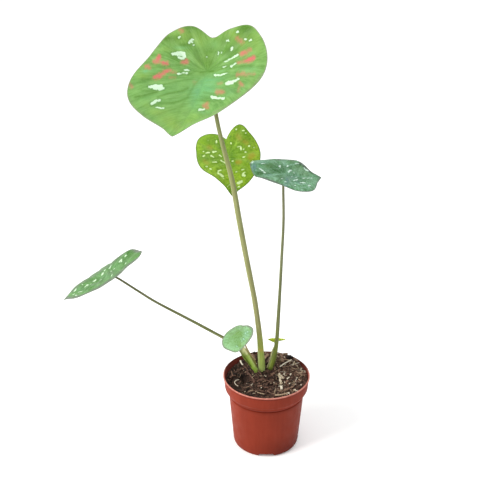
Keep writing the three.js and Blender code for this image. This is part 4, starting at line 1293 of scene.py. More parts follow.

# %% Soft patches: where a leaf or stalk is deeper, bluish, yellowish, paler or greyish
# A patch is (x, y, half width, half height, strength), with places and widths in pixels.
# Much of this paint stands for light. Deep is mostly painted shade (folds, the pit by the joint, a
# stalk's shadow on the leaf behind it, the shaded edges of stalks), partly darker green. Sheen is a
# painted bluish reflection. Pale and warm are partly painted highlights and painted light over
# shadowed parts, partly the plant's own paler and olive greens. Grey is partly painted shadow under
# the rolled margins, partly their own colour.
PATCHES = {
    "leaf_top deep": [
        (206, 62, 9, 9, 0.8), (212, 50, 6, 5, 0.6), (221, 40, 7, 5, 0.4), (246, 28, 7, 3.5, 1.6),
        (243, 33, 9, 5, 0.7), (250, 39, 9, 7, 0.35), (193, 37, 5, 5, 0.35), (202, 74, 5, 4, 0.35),
        (236, 41, 6, 5, 0.35), (232, 46, 12, 8, 0.35), (228, 51, 6, 4, 0.6),
        (170, 38.5, 11, 3.5, 1), (191, 27.5, 11, 3, 0.9), (184, 45, 6, 2, 0.8),
        (190.5, 32, 3, 1.5, 0.6), (197, 50, 6, 5, 0.4), (236, 52, 3, 4, 0.4),
        (150, 79, 14, 1.8, 0.35)],
    "leaf_top sheen": [
        (176, 98, 44, 24, 0.32), (212, 79, 11, 4, 0.8), (205, 86, 11, 7, 0.9),
        (197, 94, 6, 6, 0.75), (226, 77, 9, 3, 0.35), (211, 91, 9, 5, 0.45), (194, 104, 6, 6, 0.45),
        (230, 92, 6, 5, 0.4), (145, 71, 2.6, 2.2, 0.9), (151, 70, 7, 2, 0.4),
        (182, 47.5, 7, 1.8, 0.6), (248, 70, 11, 4, 0.55), (243, 88, 5, 5, 0.3),
        (205, 112, 6, 2, 0.4), (215, 44, 4, 5, 0.3)],
    "leaf_top warm": [
        (157, 112, 10, 3.5, 0.8), (176, 110, 20, 9, 0.45), (243, 36, 11, 10, 0.45),
        (143, 76, 6, 3, 0.6), (186, 36, 22, 8, 0.6), (232, 38, 20, 10, 0.25), (172, 124, 9, 5, 0.7),
        (204, 60, 8, 10, 0.5), (195, 116, 7, 3, 0.45), (257, 40, 6, 10, 0.4), (258, 52, 5, 5, 0.3),
        (147, 105, 5, 3, 0.45), (168, 119, 10, 4, 0.6), (190, 121, 7, 3, 0.6), (232, 33, 5, 3, 0.5),
        (166, 49, 6, 2.5, 0.4), (200, 43, 4, 4, 0.3), (178, 129, 5, 4, 0.7)],
    "leaf_top grey": [(156, 47, 3, 3, 0.4), (131, 86, 3, 2.5, 0.4)],
    "leaf_back deep": [
        (210, 141, 7, 4, 0.45), (200, 157, 4, 3, 0.8), (232, 156, 2.5, 14, 0.7),
        (249, 150.4, 6, 1.8, 0.4), (214, 158.6, 9, 2, 0.35), (222, 142, 2.5, 9, 0.5),
        (220, 150, 3, 8, 0.35), (246, 138, 6, 10, 0.2)],
    "leaf_back sheen": [(206, 159, 5, 2, 0.2)],
    "leaf_back warm": [
        (199, 147, 4, 7, 0.6), (257, 151, 3.2, 12, 0.9), (251, 152, 8, 14, 0.6),
        (240, 184, 5, 4, 0.8), (246, 178, 8, 9, 0.6), (239, 166, 8, 5, 0.35), (236, 179, 6, 8, 1.2),
        (226, 180, 6, 7, 1), (214, 171, 9, 6, 0.8), (232, 130, 4, 5, 0.3), (203, 164, 7, 3, 0.45),
        (216, 176, 7, 3, 0.3), (252, 168, 4, 8, 0.4)],
    "leaf_back grey": [
        (239.4, 137, 4, 5, 0.45), (246, 142, 3, 2.5, 0.3), (209, 148, 4, 3, 0.35),
        (231.6, 195.4, 2.2, 3.4, 1.3)],
    "leaf_right deep": [
        (275, 168.6, 7, 3.2, 0.6), (260, 173.2, 5, 2, 1.1), (283, 170, 2.4, 5, 0.35),
        (271, 164.4, 7, 2, 0.35), (289, 167.4, 5, 1.4, 0.5), (277, 171.6, 6, 1.6, 0.5),
        (303, 180.4, 8, 1.4, 0.5), (287, 175.4, 3, 1.6, 0.4), (281, 178, 3, 3, 0.5)],
    "leaf_right sheen": [
        (253.8, 167, 2.8, 4, 1), (268, 174.6, 4.5, 1.4, 0.7), (287, 180, 3, 5, 0.7),
        (294, 177.6, 7, 3, 0.4), (286, 185, 2.4, 2, 0.6), (262, 162.4, 6, 1.6, 0.5),
        (298, 182, 4, 2, 0.5)],
    "leaf_right warm": [
        (269, 165.6, 5, 3, 0.7), (301, 169, 10, 4.5, 0.75), (306, 174, 6, 2, 0.5),
        (292, 161.6, 4, 1.6, 0.4)],
    "leaf_right pale": [
        (284.6, 163, 2.2, 4.5, 0.55), (284, 174.6, 4, 1.4, 0.5), (298, 171, 12, 4, 0.4),
        (312, 180, 6, 7, 0.3), (262, 161.6, 12, 1.6, 0.5), (264, 173, 4, 3, 0.3)],
    "leaf_right grey": [(319.4, 177.6, 2, 2, 0.5), (290, 178, 4, 2, 0.25)],
    "leaf_left deep": [
        (131, 251, 7, 1.6, 1.1), (132, 255, 5, 3, 0.4), (78, 291, 7, 3, 0.3),
        (123.6, 262, 2.6, 3.6, 0.9), (90, 280, 15, 2.6, 0.75), (110, 270.4, 4, 3, 0.5),
        (117, 258, 6, 2, 0.5), (92, 289.4, 9, 1.2, 0.6), (128, 254, 2, 3, 0.6),
        (83, 286, 3, 1.5, 0.6)],
    "leaf_left sheen": [
        (105, 277, 8, 4, 0.35), (97, 286, 6, 2, 0.45), (79, 289.6, 8, 2.4, 0.8),
        (114, 266, 5, 2.4, 0.35)],
    "leaf_left warm": [(132.6, 256, 6, 3.4, 0.4)],
    "leaf_left pale": [(76, 293.4, 8, 1.8, 0.5), (122, 261, 2, 2, 0.3), (126, 264, 4, 2, 0.35)],
    "leaf_left grey": [(68, 298, 5, 1.8, 0.9), (138, 251, 5, 1.3, 1.1), (112, 273, 7, 2.4, 0.3)],
    "leaf_small deep": [
        (237.5, 338, 6, 6, 0.6), (239.4, 332.4, 3, 1.6, 0.7), (230, 333.6, 5, 1.6, 0.2)],
    "leaf_small sheen": [
        (246, 333.4, 3, 4.4, 0.9), (243.4, 339, 2, 2, 0.7), (233, 348, 7, 2, 0.3),
        (226, 339, 3, 5, 0.3)],
    "leaf_small warm": [(239, 333.4, 4, 2.4, 0.6), (240.4, 345, 2.4, 2.4, 0.5)],
    "leaf_small pale": [(233, 349.4, 8, 1.8, 0.6), (250, 330, 3, 4, 0.35), (227, 345, 4, 3, 0.45)],
    "leaf_bud deep": [(271, 341.6, 2.6, 1.2, 0.7), (279, 340, 3, 1, 0.6)],
    "leafstalk_top pale": [(261.5, 368, 3, 4, 0.15)],
    "leafstalk_top warm": [(260.8, 350.4, 3.4, 1.1, 1)],
    "leafstalk_right deep": [(270, 370, 6, 2.4, 0.8)],
    "leafstalk_left pale": [(244.4, 349.4, 2.4, 3, 1)],
    "leafstalk_left deep": [(240.6, 351.6, 2, 2.4, 1)],
    "leafstalk_bud pale": [(273, 347, 2, 4, 0.5)],
}
print("sets of soft patches:", len(PATCHES))

# %% Soft lines of the same kinds
# A line is (strength, half width) and then its points, all but the strength in pixels.
# Like the patches, deep lines are mostly painted shade in folds and grooves, pale lines partly
# painted highlights on the lit sides of the folds, and grey lines partly painted shadow under the
# rolled margins.
LINES = {
    "leaf_top deep": [
        (0.8, 1.2, (135, 97), (143, 96), (150, 94), (157, 92)),
        (0.7, 1.3, (158, 97), (168, 93.5), (176, 92), (183, 90.5), (188, 88)),
        (0.7, 1.3, (159, 103.8), (166, 103), (173, 102.5), (180, 101), (188, 97.5)),
        (0.6, 1, (151, 106.4), (158, 104.8), (163, 103.6)),
        (0.4, 1.3, (200, 78), (194, 85), (190, 93), (186, 99), (182, 104)),
        (0.25, 1.5, (182, 104), (177, 116), (174, 128)),
        (0.4, 1, (144, 69), (156, 67), (170, 66), (182, 65)),
        (0.35, 1, (165, 84), (180, 81), (192, 79)), (0.5, 1, (141, 90), (149, 91.4), (158, 92)),
        (0.9, 0.8, (206.6, 72), (203.4, 63), (201, 54)),
        (1, 0.8, (206.8, 72), (206.4, 60), (207, 51)), (0.9, 0.8, (207, 72), (211, 63), (216, 51)),
        (0.55, 0.9, (206, 72), (197, 66), (189, 60)),
        (0.65, 0.9, (207.5, 71.5), (216, 65), (226, 59)),
        (1, 1, (200, 72.4), (207, 71.6), (213, 71)), (0.5, 1, (206, 72), (196, 71), (188, 75)),
        (1, 1.4, (237.5, 36), (243, 30), (250, 25.4)), (0.7, 0.7, (252.5, 57), (258.5, 56.2)),
        (0.35, 1, (226, 70), (238, 66), (252, 66)), (0.45, 0.9, (226, 78), (236, 76), (246, 77)),
        (0.4, 0.9, (204, 92.5), (214, 93.6), (226, 94)),
        (0.35, 0.9, (196, 100), (206, 101), (218, 101.5))],
    "leaf_top sheen": [(0.5, 1, (209, 74.6), (216, 73), (224, 70.5), (229, 68.5))],
    "leaf_top pale": [
        (0.5, 1, (141, 94), (150, 91.6), (160, 90.6)),
        (0.55, 1.1, (152, 99), (163, 96.4), (178, 94.6)),
        (0.5, 1, (166, 98.4), (176, 97.2), (186, 94)),
        (0.55, 1, (163, 106), (174, 105.6), (182, 104)),
        (0.5, 1, (150, 83), (166, 82.2), (182, 79)), (0.4, 0.9, (196, 82), (202, 78), (207, 75)),
        (0.5, 0.9, (208, 78), (218, 77.2), (226, 76.4)),
        (0.45, 0.9, (222, 64.4), (232, 60.4), (238, 57.6)),
        (0.6, 1, (213, 115.4), (226, 108.2), (240, 99.2)),
        (0.5, 1, (178, 130.8), (192, 124.2), (206, 118.2)),
        (0.4, 1, (228, 70.4), (240, 69.4), (256, 71))],
    "leaf_top grey": [
        (0.7, 0.7, (262.6, 73), (252, 87), (240, 97.6), (226, 106.8), (213, 113)),
        (0.25, 0.7, (213, 113), (198, 119.6), (182, 126.8), (175, 130.6)),
        (0.3, 1, (128.6, 96), (134, 106.4), (150, 119.6), (166, 130.6)),
        (0.5, 0.9, (160, 41), (170, 32), (178, 27.6))],
    "leaf_back deep": [(1.2, 1.1, (229.5, 190.6), (232, 197))],
    "leaf_back pale": [
        (0.5, 0.8, (226, 189), (218, 180), (206, 170), (199, 164.6)),
        (0.4, 0.8, (206.6, 164), (212, 169.4)), (0.6, 1.4, (214, 173), (224, 181))],
    "leaf_right deep": [
        (0.7, 0.8, (258, 172), (266, 174), (274, 172.4)),
        (0.8, 0.8, (298, 163), (306, 168), (312, 173.6)),
        (0.4, 0.7, (286, 183.6), (298, 187.4), (306, 189.6))],
    "leaf_right pale": [
        (0.6, 0.7, (288, 165.4), (298, 163.2)),
        (0.5, 0.6, (266, 170.2), (274, 168.8), (280, 168.4)),
        (0.5, 0.6, (264, 175.6), (272, 176.8), (278, 178.6)),
        (0.5, 0.6, (285.4, 175), (289, 178.6), (290, 183)),
        (0.5, 0.6, (290, 179.6), (300, 180.6), (312, 180.2)),
        (0.5, 0.6, (291, 184.4), (300, 187.4), (309, 187.6)),
        (0.4, 0.6, (287, 172), (296, 168.6), (304, 167.4)),
        (0.4, 0.6, (252.6, 162.8), (251.8, 169), (254.2, 174.6)),
        (0.6, 0.7, (258, 173.6), (270, 175.4), (280, 174.4)),
        (0.6, 0.7, (284, 183.8), (292, 186), (303, 189.4)),
        (0.5, 0.6, (292, 182.8), (302, 184.6), (312, 183.6))],
    "leaf_right grey": [
        (0.9, 0.9, (300, 162.6), (311, 172), (319, 175.4)),
        (0.3, 0.7, (319.6, 177.6), (315, 186), (309, 190.4)),
        (1.1, 0.9, (254, 176.6), (264, 178.4), (272, 181), (282, 185.2)),
        (0.6, 0.7, (276, 160), (285, 159), (296, 160.4))],
    "leaf_left deep": [(0.5, 0.7, (73, 292.6), (84, 289.4), (96, 286))],
    "leaf_left pale": [
        (0.5, 0.6, (80, 287), (94, 280), (106, 272)),
        (0.5, 0.6, (88, 290), (102, 283), (112, 276))],
    "leaf_left grey": [
        (0.75, 0.9, (72, 297.8), (84, 294.6), (97, 288), (108, 281), (117, 274.6), (126, 266.4),
         (137, 258.4)),
        (0.6, 0.9, (72, 292), (80, 283.4), (94, 275), (110, 264.6), (119, 257), (126, 251.2)),
        (0.4, 0.7, (92, 285), (104, 281))],
    "leaf_small deep": [
        (0.35, 0.7, (238, 334), (231, 340), (226, 345)),
        (0.3, 0.7, (239, 335), (246, 331), (251, 329)),
        (0.3, 0.7, (238, 336), (238, 343), (240, 349))],
    "leaf_small pale": [
        (0.5, 0.6, (232, 331), (226, 336), (223.6, 341)),
        (0.4, 0.6, (243, 328), (248, 326.6), (251, 329)),
        (0.4, 0.6, (228, 348.4), (234, 350.4), (240, 350.8)),
        (0.4, 0.6, (249, 334), (246.6, 338.4), (244.4, 342))],
    "leaf_small grey": [
        (1.1, 0.9, (247, 325.8), (251.6, 328.4), (252.6, 332.6), (250.6, 338), (246, 345)),
        (0.6, 0.8, (246, 326), (240, 327.6), (235, 327.8), (229, 332.8)),
        (0.35, 0.7, (230.6, 335.2), (236, 331.2), (244, 329.4)),
        (0.5, 0.8, (223.6, 346), (228, 350.4), (236, 352))],
    "leaf_bud pale": [
        (0.6, 0.5, (267, 338.8), (272, 338.6)), (0.6, 0.5, (279, 338.8), (285.4, 339.4))],
    "leafstalk_top pale": [
        (1, 0.9, (258.4, 352), (258.8, 369)), (0.9, 0.8, (264, 369), (264.2, 371.6))],
    "leafstalk_top deep": [(0.3, 0.9, (263.4, 354), (264.8, 366))],
    "leafstalk_right pale": [(0.35, 0.9, (271.4, 358), (269.4, 366))],
    "leafstalk_right deep": [(0.8, 1.1, (276.8, 353), (275.4, 360), (273.4, 366))],
    "leafstalk_left pale": [
        (1.1, 1.3, (243.2, 347), (247, 353.4)),
        (0.35, 0.7, (249.2, 356), (252.2, 361), (255, 366))],
    "leafstalk_left warm": [(0.9, 1.1, (247.6, 355), (250.6, 360.6), (253.6, 366.5))],
    "leafstalk_left deep": [
        (1.1, 1.1, (239.8, 351), (243.2, 356), (246.4, 359.8), (248.4, 363), (251, 366.6)),
        (0.6, 0.5, (240.6, 354.6), (245.2, 351.8)), (0.6, 0.5, (242.6, 357.8), (247, 354.8)),
        (0.5, 0.5, (245, 361), (249.4, 358))],
    "leafstalk_small deep": [(0.2, 0.6, (249, 351), (257, 365))],
}
print("sets of soft lines:", len(LINES))

# %% [markdown]
# ## Making a blade
# The wrapped grid gives the upper face. Solidify then adds the lower one, and the new
# points are pushed out a little under each vein, because a leaf's ribs stand out below.

# %% The upper face
SWELL = {"top": 1.9, "back": 0.8, "right": 1, "left": 0.9, "small": 0.35, "bud": 0.1}
CRINKLE, CREASE = 0.085, 0.35  # how fine the blade crinkles, and how deep a vein lies, in mm


def upper_face(name):
    """The wrapped grid of a leaf: folded, swollen between its veins and creased along them."""
    leaf = LEAVES[name]
    tipward, leftward, outward = leaf_axes(leaf)
    scale = leaf["left"][0] / FULL_LEAF
    crinkle_size = CRINKLE / (0.4 + 0.6 * scale)

    def place(turn, rho):
        theta = turn * math.pi
        u, v, _ = flat_place(leaf, theta, rho)
        w = fold_height(leaf, u, v, theta, rho)
        on_vein, nearest = vein_marks(leaf, u, v)
        fade = np.clip((1 - rho) * 7, 0, 1) * np.clip(rho * 5, 0, 1)
        swell = 1 - np.exp(-(nearest / (4.5 * (0.35 + 0.65 * scale))) ** 2)
        crinkle = np.array([noise.noise(Vector((a * crinkle_size, b * crinkle_size, 2)))
                            for a, b in zip(u, v)])
        w = w + fade * SWELL[name] * (swell - 0.35 + 0.45 * crinkle)
        w = w - CREASE * on_vein * np.clip(rho * 8, 0, 1)
        return (np.array(leaf["at"]) + np.outer(u, tipward) + np.outer(v, leftward)
                + np.outer(w, outward)) * MM
    blade = wrapped_grid(f"leaf_{name}", *leaf["net"], place)
    # Which way the upper face looks decides which side Solidify must thicken.
    normal_now = np.array(blade.data.polygons[len(blade.data.polygons) // 2].normal)
    if normal_now @ outward < 0:
        in_edit_mode(blade, bpy.ops.mesh.flip_normals)
    return blade


print("helper: upper_face")

# %% Spots on a blade
SPOT_GROW = {"back": 0.76, "right": 1.05, "left": 1.45, "small": 0.62}  # against the width listed
PINK_GROW = 0.1


def mark_spots(blade, name, flat):
    """Marks how far each point is from a white and from a pink spot, and the pink's strength."""
    white, pink, how = SPOTS[name]
    white = [(*ends, r * SPOT_GROW.get(name, 1)) for *ends, r in white]
    if how == "picture":
        plane, unit = pixels_of(points_of(blade)), PX_MM
    else:
        plane, unit = flat, 1
        white = [(*on_leaf(blade, x0, y0, flat), *on_leaf(blade, x1, y1, flat), r * PX_MM)
                 for x0, y0, x1, y1, r in white]
    mark(blade, "white_mm", stroke_distance(plane, white) * unit)
    pink_mm, strength = np.full(len(flat), FAR_OFF), np.zeros(len(flat))
    for x0, y0, x1, y1, r, force in pink:
        own = stroke_distance(plane, [(x0, y0, x1, y1, r + PINK_GROW)]) * unit
        strength = np.where(own < pink_mm, force, strength)
        pink_mm = np.minimum(pink_mm, own)
    mark(blade, "pink_mm", pink_mm)
    mark(blade, "pink_force", strength)


print("helper: mark_spots")

# %% Thickness, ribs and the flat map
THICK = 0.75
RIB, BOSS_RIB, BOSS_R = 0.75, 0.9, 3.5  # mm: under a vein, under the joint, and how wide there
UV_MM = 100  # millimetres of leaf to one unit of its flat map


def thicken(blade, leaf, on_vein, rho, reach):
    """Solidify, then a thinner edge, with a rib under each vein and under the joint."""
    outward = leaf_axes(leaf)[2]
    scale = leaf["left"][0] / FULL_LEAF
    count = len(blade.data.vertices)
    apply_modifier(blade, "SOLIDIFY", thickness=THICK * MM, offset=-1, use_even_offset=False)
    points = points_of(blade)
    thin_edge = np.clip((1 - rho) * 9, 0, 1)
    upper, lower = points[:count], points[count:]
    lower = upper + (lower - upper) * (0.5 + 0.5 * thin_edge)[:, None]
    rib = RIB * on_vein * (0.45 + 0.55 * scale) + BOSS_RIB * np.exp(-(rho * reach / BOSS_R) ** 2)
    lower = lower - np.outer(rib * thin_edge, outward) * MM
    move_points(blade, np.concatenate([upper, lower]))
    mark(blade, "under", np.r_[np.zeros(count), np.ones(len(lower))])


def lay_flat_map(blade, flat):
    """The UV map of both faces is the flat leaf."""
    layer = blade.data.uv_layers.active
    layer.name = "flat"
    corner = np.empty(len(blade.data.loops), np.int32)
    blade.data.loops.foreach_get("vertex_index", corner)
    flat_all = np.concatenate([flat, flat])[corner] / UV_MM
    layer.data.foreach_set("uv", flat_all.ravel().astype(np.float32))


print("helpers: thicken, lay_flat_map")

# %% The whole blade
PAINT_FORCE = {"right": 1.5, "left": 1.35, "small": 1.15}


def make_blade(name):
    leaf = LEAVES[name]
    blade = upper_face(name)
    theta, rho = marks(blade, "turn") * math.pi, marks(blade, "out")
    u, v, reach = flat_place(leaf, theta, rho)
    flat = np.stack([u, v], 1)
    on_vein, _ = vein_marks(leaf, u, v)
    for label, values in (("vein", on_vein), ("margin", (1 - rho) * reach),
                          ("fan", vein_fan(leaf, u, v)), ("half", np.sign(v)),
                          ("along", np.abs(v) + np.maximum(-u, 0))):
        mark(blade, label, values)
    mark_spots(blade, name, flat)
    painted(blade, ("deep", "sheen", "warm", "pale", "grey"), PAINT_FORCE.get(name, 1))
    thicken(blade, leaf, on_vein, rho, reach)
    lay_flat_map(blade, flat)
    return blade


print("helper: make_blade")

# %% [markdown]
# ## Leaf finish
# Each leaf has its own greens, but the same build: a mottled green, soft paint, pale side
# veins with a fine net between them, white and pink spots, a thin pale edge, and a duller,
# paler underside. Much of the soft paint is painted light: deeper patches are mostly painted
# shade, bluer ones a painted sheen, and some paler ones painted highlights. The shader's own
# roughness adds a real sheen on top.

# %% Fine net of veins, as a shared group
net, given, out = new_group("vein net", {"Vector": "vector", "Scale": "value"}, {"Line": "value"})
shift = add_node(net, "ShaderNodeTexNoise", Vector=given["Vector"], Scale=14, Detail=2)
small_shift = made_of("ShaderNodeVectorMath", shift.outputs["Color"], operation="SCALE", Scale=0.05)
warped = made_of("ShaderNodeVectorMath", given["Vector"], small_shift, operation="ADD")
cells = made_of("ShaderNodeTexVoronoi", warped, feature="DISTANCE_TO_EDGE", Scale=given["Scale"])
feed(out["Line"], spread(cells, 0.1, 0))
print("node group: vein net")


# %% Leaf finish builder
PAINT_SHARE = {"warm": 0.75, "sheen": 0.75, "pale": 0.7, "deep": 0.85, "grey": 0.85}
LEAF_ROUGH, LEAF_SPECULAR = 0.48, 0.25


def leaf_finish(name, dark, light, deep, sheen, warm, pale, grey, edge, vein, white,
                pink=(0.5, 0.11, 0.105), under=(0.2, 0.3, 0.14), vein_share=0.4,
                streak=(5, 0.35, 0.3), fleck=None, edge_mm=1, rag=0.6):
    """The finish of one leaf; streak is count, pale share, dark share; fleck is share, scale."""
    finish, tree, into = new_finish(f"leaf {name}", LEAF_ROUGH, LEAF_SPECULAR)
    uv = add_node(tree, "ShaderNodeUVMap", uv_map="flat").outputs[0]
    here = object_place(tree)
    green = use_group(tree, mottle, Vector=uv, Scale=6, Edge=0.16, Dark=dark, Light=light)["Colour"]
    count, light_share, dark_share = streak
    coarse = noise_on_marks(tree, 0.6, fan=count, along=0.03, half=7)
    fine = noise_on_marks(tree, 0.6, fan=count * 3.2, along=0.06, half=7)
    for streaks, to, share, colour in (
            (coarse, 0.64, light_share, light), (coarse, 0.36, dark_share, deep),
            (fine, 0.66, light_share * 0.7, pale), (fine, 0.34, dark_share * 0.7, deep)):
        green = mixed(times(spread(streaks, 0.5, to), share), green, colour)
    # Soft paint with a torn edge, much of it painted shade, painted sheen and painted highlights:
    # the fine streaks decide where a soft patch holds.
    torn = spread(fine, 0.35, 0.65, 0.6, 1.25, ends="LINEAR")
    for kind, colour in (("warm", warm), ("sheen", sheen), ("pale", pale), ("deep", deep),
                         ("grey", grey)):
        amount = times(mark_of(tree, kind), times(torn, PAINT_SHARE[kind]), clamp=True)
        green = mixed(amount, green, colour)
    lines = use_group(tree, net, Vector=uv, Scale=34)["Line"]
    green = mixed(times(lines, 0.12), green, pale)
    green = mixed(times(mark_of(tree, "vein"), vein_share), green, vein)
    if fleck:
        fleck_share, fleck_scale = fleck
        specks = noise_of(here, fleck_scale, 2, 0.5)
        green = mixed(times(spread(specks, 0.46, 0.36), fleck_share), green, deep)
        green = mixed(times(spread(specks, 0.56, 0.68), fleck_share * 0.6), green, pale)
    spotted = use_group(tree, spots, Vector=here, Green=green, Pink=pink, White=white, Rag=rag,
                        White_distance=mark_of(tree, "white_mm"),
                        Pink_distance=mark_of(tree, "pink_mm"),
                        Pink_strength=mark_of(tree, "pink_force"))["Colour"]
    at_edge = spread(mark_of(tree, "margin"), 1.5 * edge_mm, 0.5 * edge_mm)
    edged = mixed(at_edge, spotted, edge)
    feed(into["Base Color"], mixed(mark_of(tree, "under"), edged, mixed(0.7, edged, under)))
    feed(into["Roughness"],
         spread(noise_of(here, 90, 3), 0.3, 0.7, LEAF_ROUGH - 0.06, LEAF_ROUGH + 0.1))
    skin = use_group(tree, grain, Vector=here, Scale=1100)["Height"]
    relief = plus(times(lines, -0.3), plus(times(skin, 0.3), times(fine, 0.9)))
    bumped(into, relief, 0.5, 0.0006)
    return finish


print("helper: leaf_finish")

# %% Colours of the six leaves
LEAF_LOOKS = {
    "top": dict(
        dark=(0.096, 0.235, 0.045), light=(0.158, 0.322, 0.076), deep=(0.054, 0.15, 0.006),
        sheen=(0.125, 0.34, 0.135), warm=(0.205, 0.335, 0.045), pale=(0.205, 0.375, 0.11),
        grey=(0.17, 0.175, 0.11), edge=(0.19, 0.225, 0.13), vein=(0.095, 0.25, 0.06),
        white=(0.47, 0.63, 0.46), vein_share=0.25, streak=(4.5, 0.5, 0.42), edge_mm=0.8, rag=0.8),
    "back": dict(
        dark=(0.12, 0.25, 0.008), light=(0.21, 0.365, 0.02), deep=(0.07, 0.185, 0.004),
        sheen=(0.14, 0.26, 0.06), warm=(0.28, 0.44, 0.018), pale=(0.28, 0.45, 0.05),
        grey=(0.21, 0.235, 0.05), edge=(0.085, 0.15, 0.012), vein=(0.15, 0.29, 0.015),
        white=(0.6, 0.76, 0.36), pink=(0.34, 0.25, 0.022), under=(0.22, 0.33, 0.05),
        streak=(1.8, 0.3, 0.3), fleck=(0.45, 420), vein_share=0.3, edge_mm=0.9),
    "right": dict(
        dark=(0.078, 0.26, 0.098), light=(0.168, 0.385, 0.195), deep=(0.026, 0.125, 0.02),
        sheen=(0.1, 0.225, 0.215), warm=(0.085, 0.195, 0.03), pale=(0.31, 0.56, 0.4),
        grey=(0.095, 0.1, 0.092), edge=(0.12, 0.17, 0.13), vein=(0.17, 0.35, 0.22),
        white=(0.62, 0.8, 0.7), under=(0.15, 0.26, 0.16), vein_share=0.35, streak=(1.8, 0.8, 0.7),
        fleck=(0.55, 520), edge_mm=0.9),
    "left": dict(
        dark=(0.066, 0.19, 0.042), light=(0.12, 0.275, 0.088), deep=(0.032, 0.128, 0.01),
        sheen=(0.14, 0.31, 0.135), warm=(0.09, 0.215, 0.03), pale=(0.2, 0.385, 0.15),
        grey=(0.135, 0.15, 0.125), edge=(0.135, 0.16, 0.125), vein=(0.11, 0.25, 0.085),
        white=(0.5, 0.68, 0.46), under=(0.15, 0.26, 0.13), streak=(1.4, 0.5, 0.5), fleck=(0.3, 380),
        edge_mm=1.8),
    "small": dict(
        dark=(0.158, 0.315, 0.124), light=(0.218, 0.405, 0.19), deep=(0.098, 0.215, 0.036),
        sheen=(0.24, 0.45, 0.29), warm=(0.17, 0.28, 0.042), pale=(0.29, 0.52, 0.27),
        grey=(0.165, 0.205, 0.145), edge=(0.185, 0.225, 0.16), vein=(0.2, 0.39, 0.17),
        white=(0.34, 0.56, 0.44), under=(0.2, 0.33, 0.18), vein_share=0.2, streak=(1.5, 0.75, 0.55),
        fleck=(0.5, 480), edge_mm=1.5),
    "bud": dict(
        dark=(0.52, 0.68, 0.02), light=(0.64, 0.78, 0.045), deep=(0.34, 0.5, 0.01),
        sheen=(0.45, 0.55, 0.1), warm=(0.5, 0.6, 0.02), pale=(0.7, 0.8, 0.14),
        grey=(0.3, 0.35, 0.1), edge=(0.6, 0.72, 0.08), vein=(0.5, 0.62, 0.03),
        white=(0.6, 0.7, 0.3), under=(0.56, 0.7, 0.05), vein_share=0.3, edge_mm=0.6),
}
print("leaves with colours:", len(LEAF_LOOKS))

# %% Make the six blades
for name, looks in LEAF_LOOKS.items():
    blade = make_blade(name)
    place_piece(blade, leaf_finish(name, **looks), f"blade_{name}", f"blade_{name}", smooth=50)

# %% [markdown]
# ## Stalks
# Each stalk is a tapering tube along a smooth curve, from the mix up to its blade, with
# fine lengthwise ridges. It meets the blade square, so the last part turns along the
# blade's own normal. The sheath, the open sleeve at the foot of the left stalk, is a swelling
# of the tube, and the edge where it opens is painted on as a dark line, partly painted shade
# in its fold. Painted shade also darkens the shaded edges of some stalks, and painted
# highlights lie along parts of their lit sides.

# %% Stalk measures
# Points of a line are (x, y, z, radius) in mm; the neck is the last part, square to the blade.
STALKS = {
    "top": dict(
        line=[(-5.5, 14, 78.2, 3.9), (-5.6, 13, 90, 4.4), (-6.6, 12, 112, 4), (-8.5, 12, 140, 3.45),
              (-14.9, 12, 191, 3.1), (-19.6, 11.5, 218, 3.15), (-24.2, 11, 244, 3.15),
              (-33, 10, 296, 3.2), (-41, 9, 346, 2.95), (-52.6, 8, 395, 2.45),
              (-58.5, 8, 426, 2.2)], neck=10, tip=1.9, sides=28, steps=170),
    "back": dict(
        line=[(-5, 22, 77.3, 2.2), (-5, 22, 86, 2.2), (-7, 28, 125, 1.9), (-15, 37, 176, 1.8),
              (-23, 45, 227, 1.8), (-33, 53, 276, 1.7), (-40, 60, 312, 1.6)], neck=6, tip=1.2,
        sides=20, steps=120),
    "right": dict(
        line=[(2.4, 13, 78, 2.4), (3.8, 13, 89, 2.6), (8.2, 12, 106, 3.1), (10.8, 11, 121, 2.8),
              (12.2, 10, 136, 2.4), (13.3, 8, 165, 2.25), (14.3, 6, 194, 1.95),
              (15.9, 3, 249, 1.75), (17.1, -1, 301, 1.55), (16, -4, 343, 1.4)], neck=5, tip=1.1,
        sides=20, steps=140),
    "left": dict(
        line=[(-9.5, 8, 76.9, 2.2), (-11.8, 8.5, 92.5, 2.8), (-16.2, 8.5, 99.8, 3),
              (-20.4, 8.3, 107.5, 3.5), (-24.6, 8, 114.8, 4.2), (-28.2, 7.5, 122.2, 4.2),
              (-32.8, 7, 129.3, 3.5), (-40.5, 6.4, 135, 2.3), (-53, 6, 142.6, 1.95),
              (-86, 6, 163.3, 1.75), (-122, 7, 184.6, 1.55), (-134, 7, 192.2, 1.5),
              (-153, 7, 206.2, 1.4), (-172, 7, 220.4, 1.3)], neck=3, tip=1.1, sides=20, steps=150),
    "small": dict(
        line=[(-9.5, 18.6, 77, 1.2), (-11, 17.5, 88, 1.4), (-15.1, 14.5, 104, 1.45),
              (-20.9, 9, 118, 1.35), (-26, 2, 135, 0.9)], neck=4, tip=0.8, sides=14, steps=60),
    "bud": dict(
        line=[(0.3, 17, 78, 0.9), (0.7, 17, 89.6, 0.95), (3, 17, 97, 0.95),
              (4.8, 17.5, 103.5, 0.95), (7.2, 20.5, 113.5, 0.95)], neck=3, tip=0.9, sides=14,
        steps=40),
}
print("stalks:", ", ".join(STALKS))

# %% The line of a stalk
BOSS, GAP = 1.8, 0.3


def between_ends(first, last, start, end, s):
    return first * (end - s) / (end - start) + last * (s - start) / (end - start)


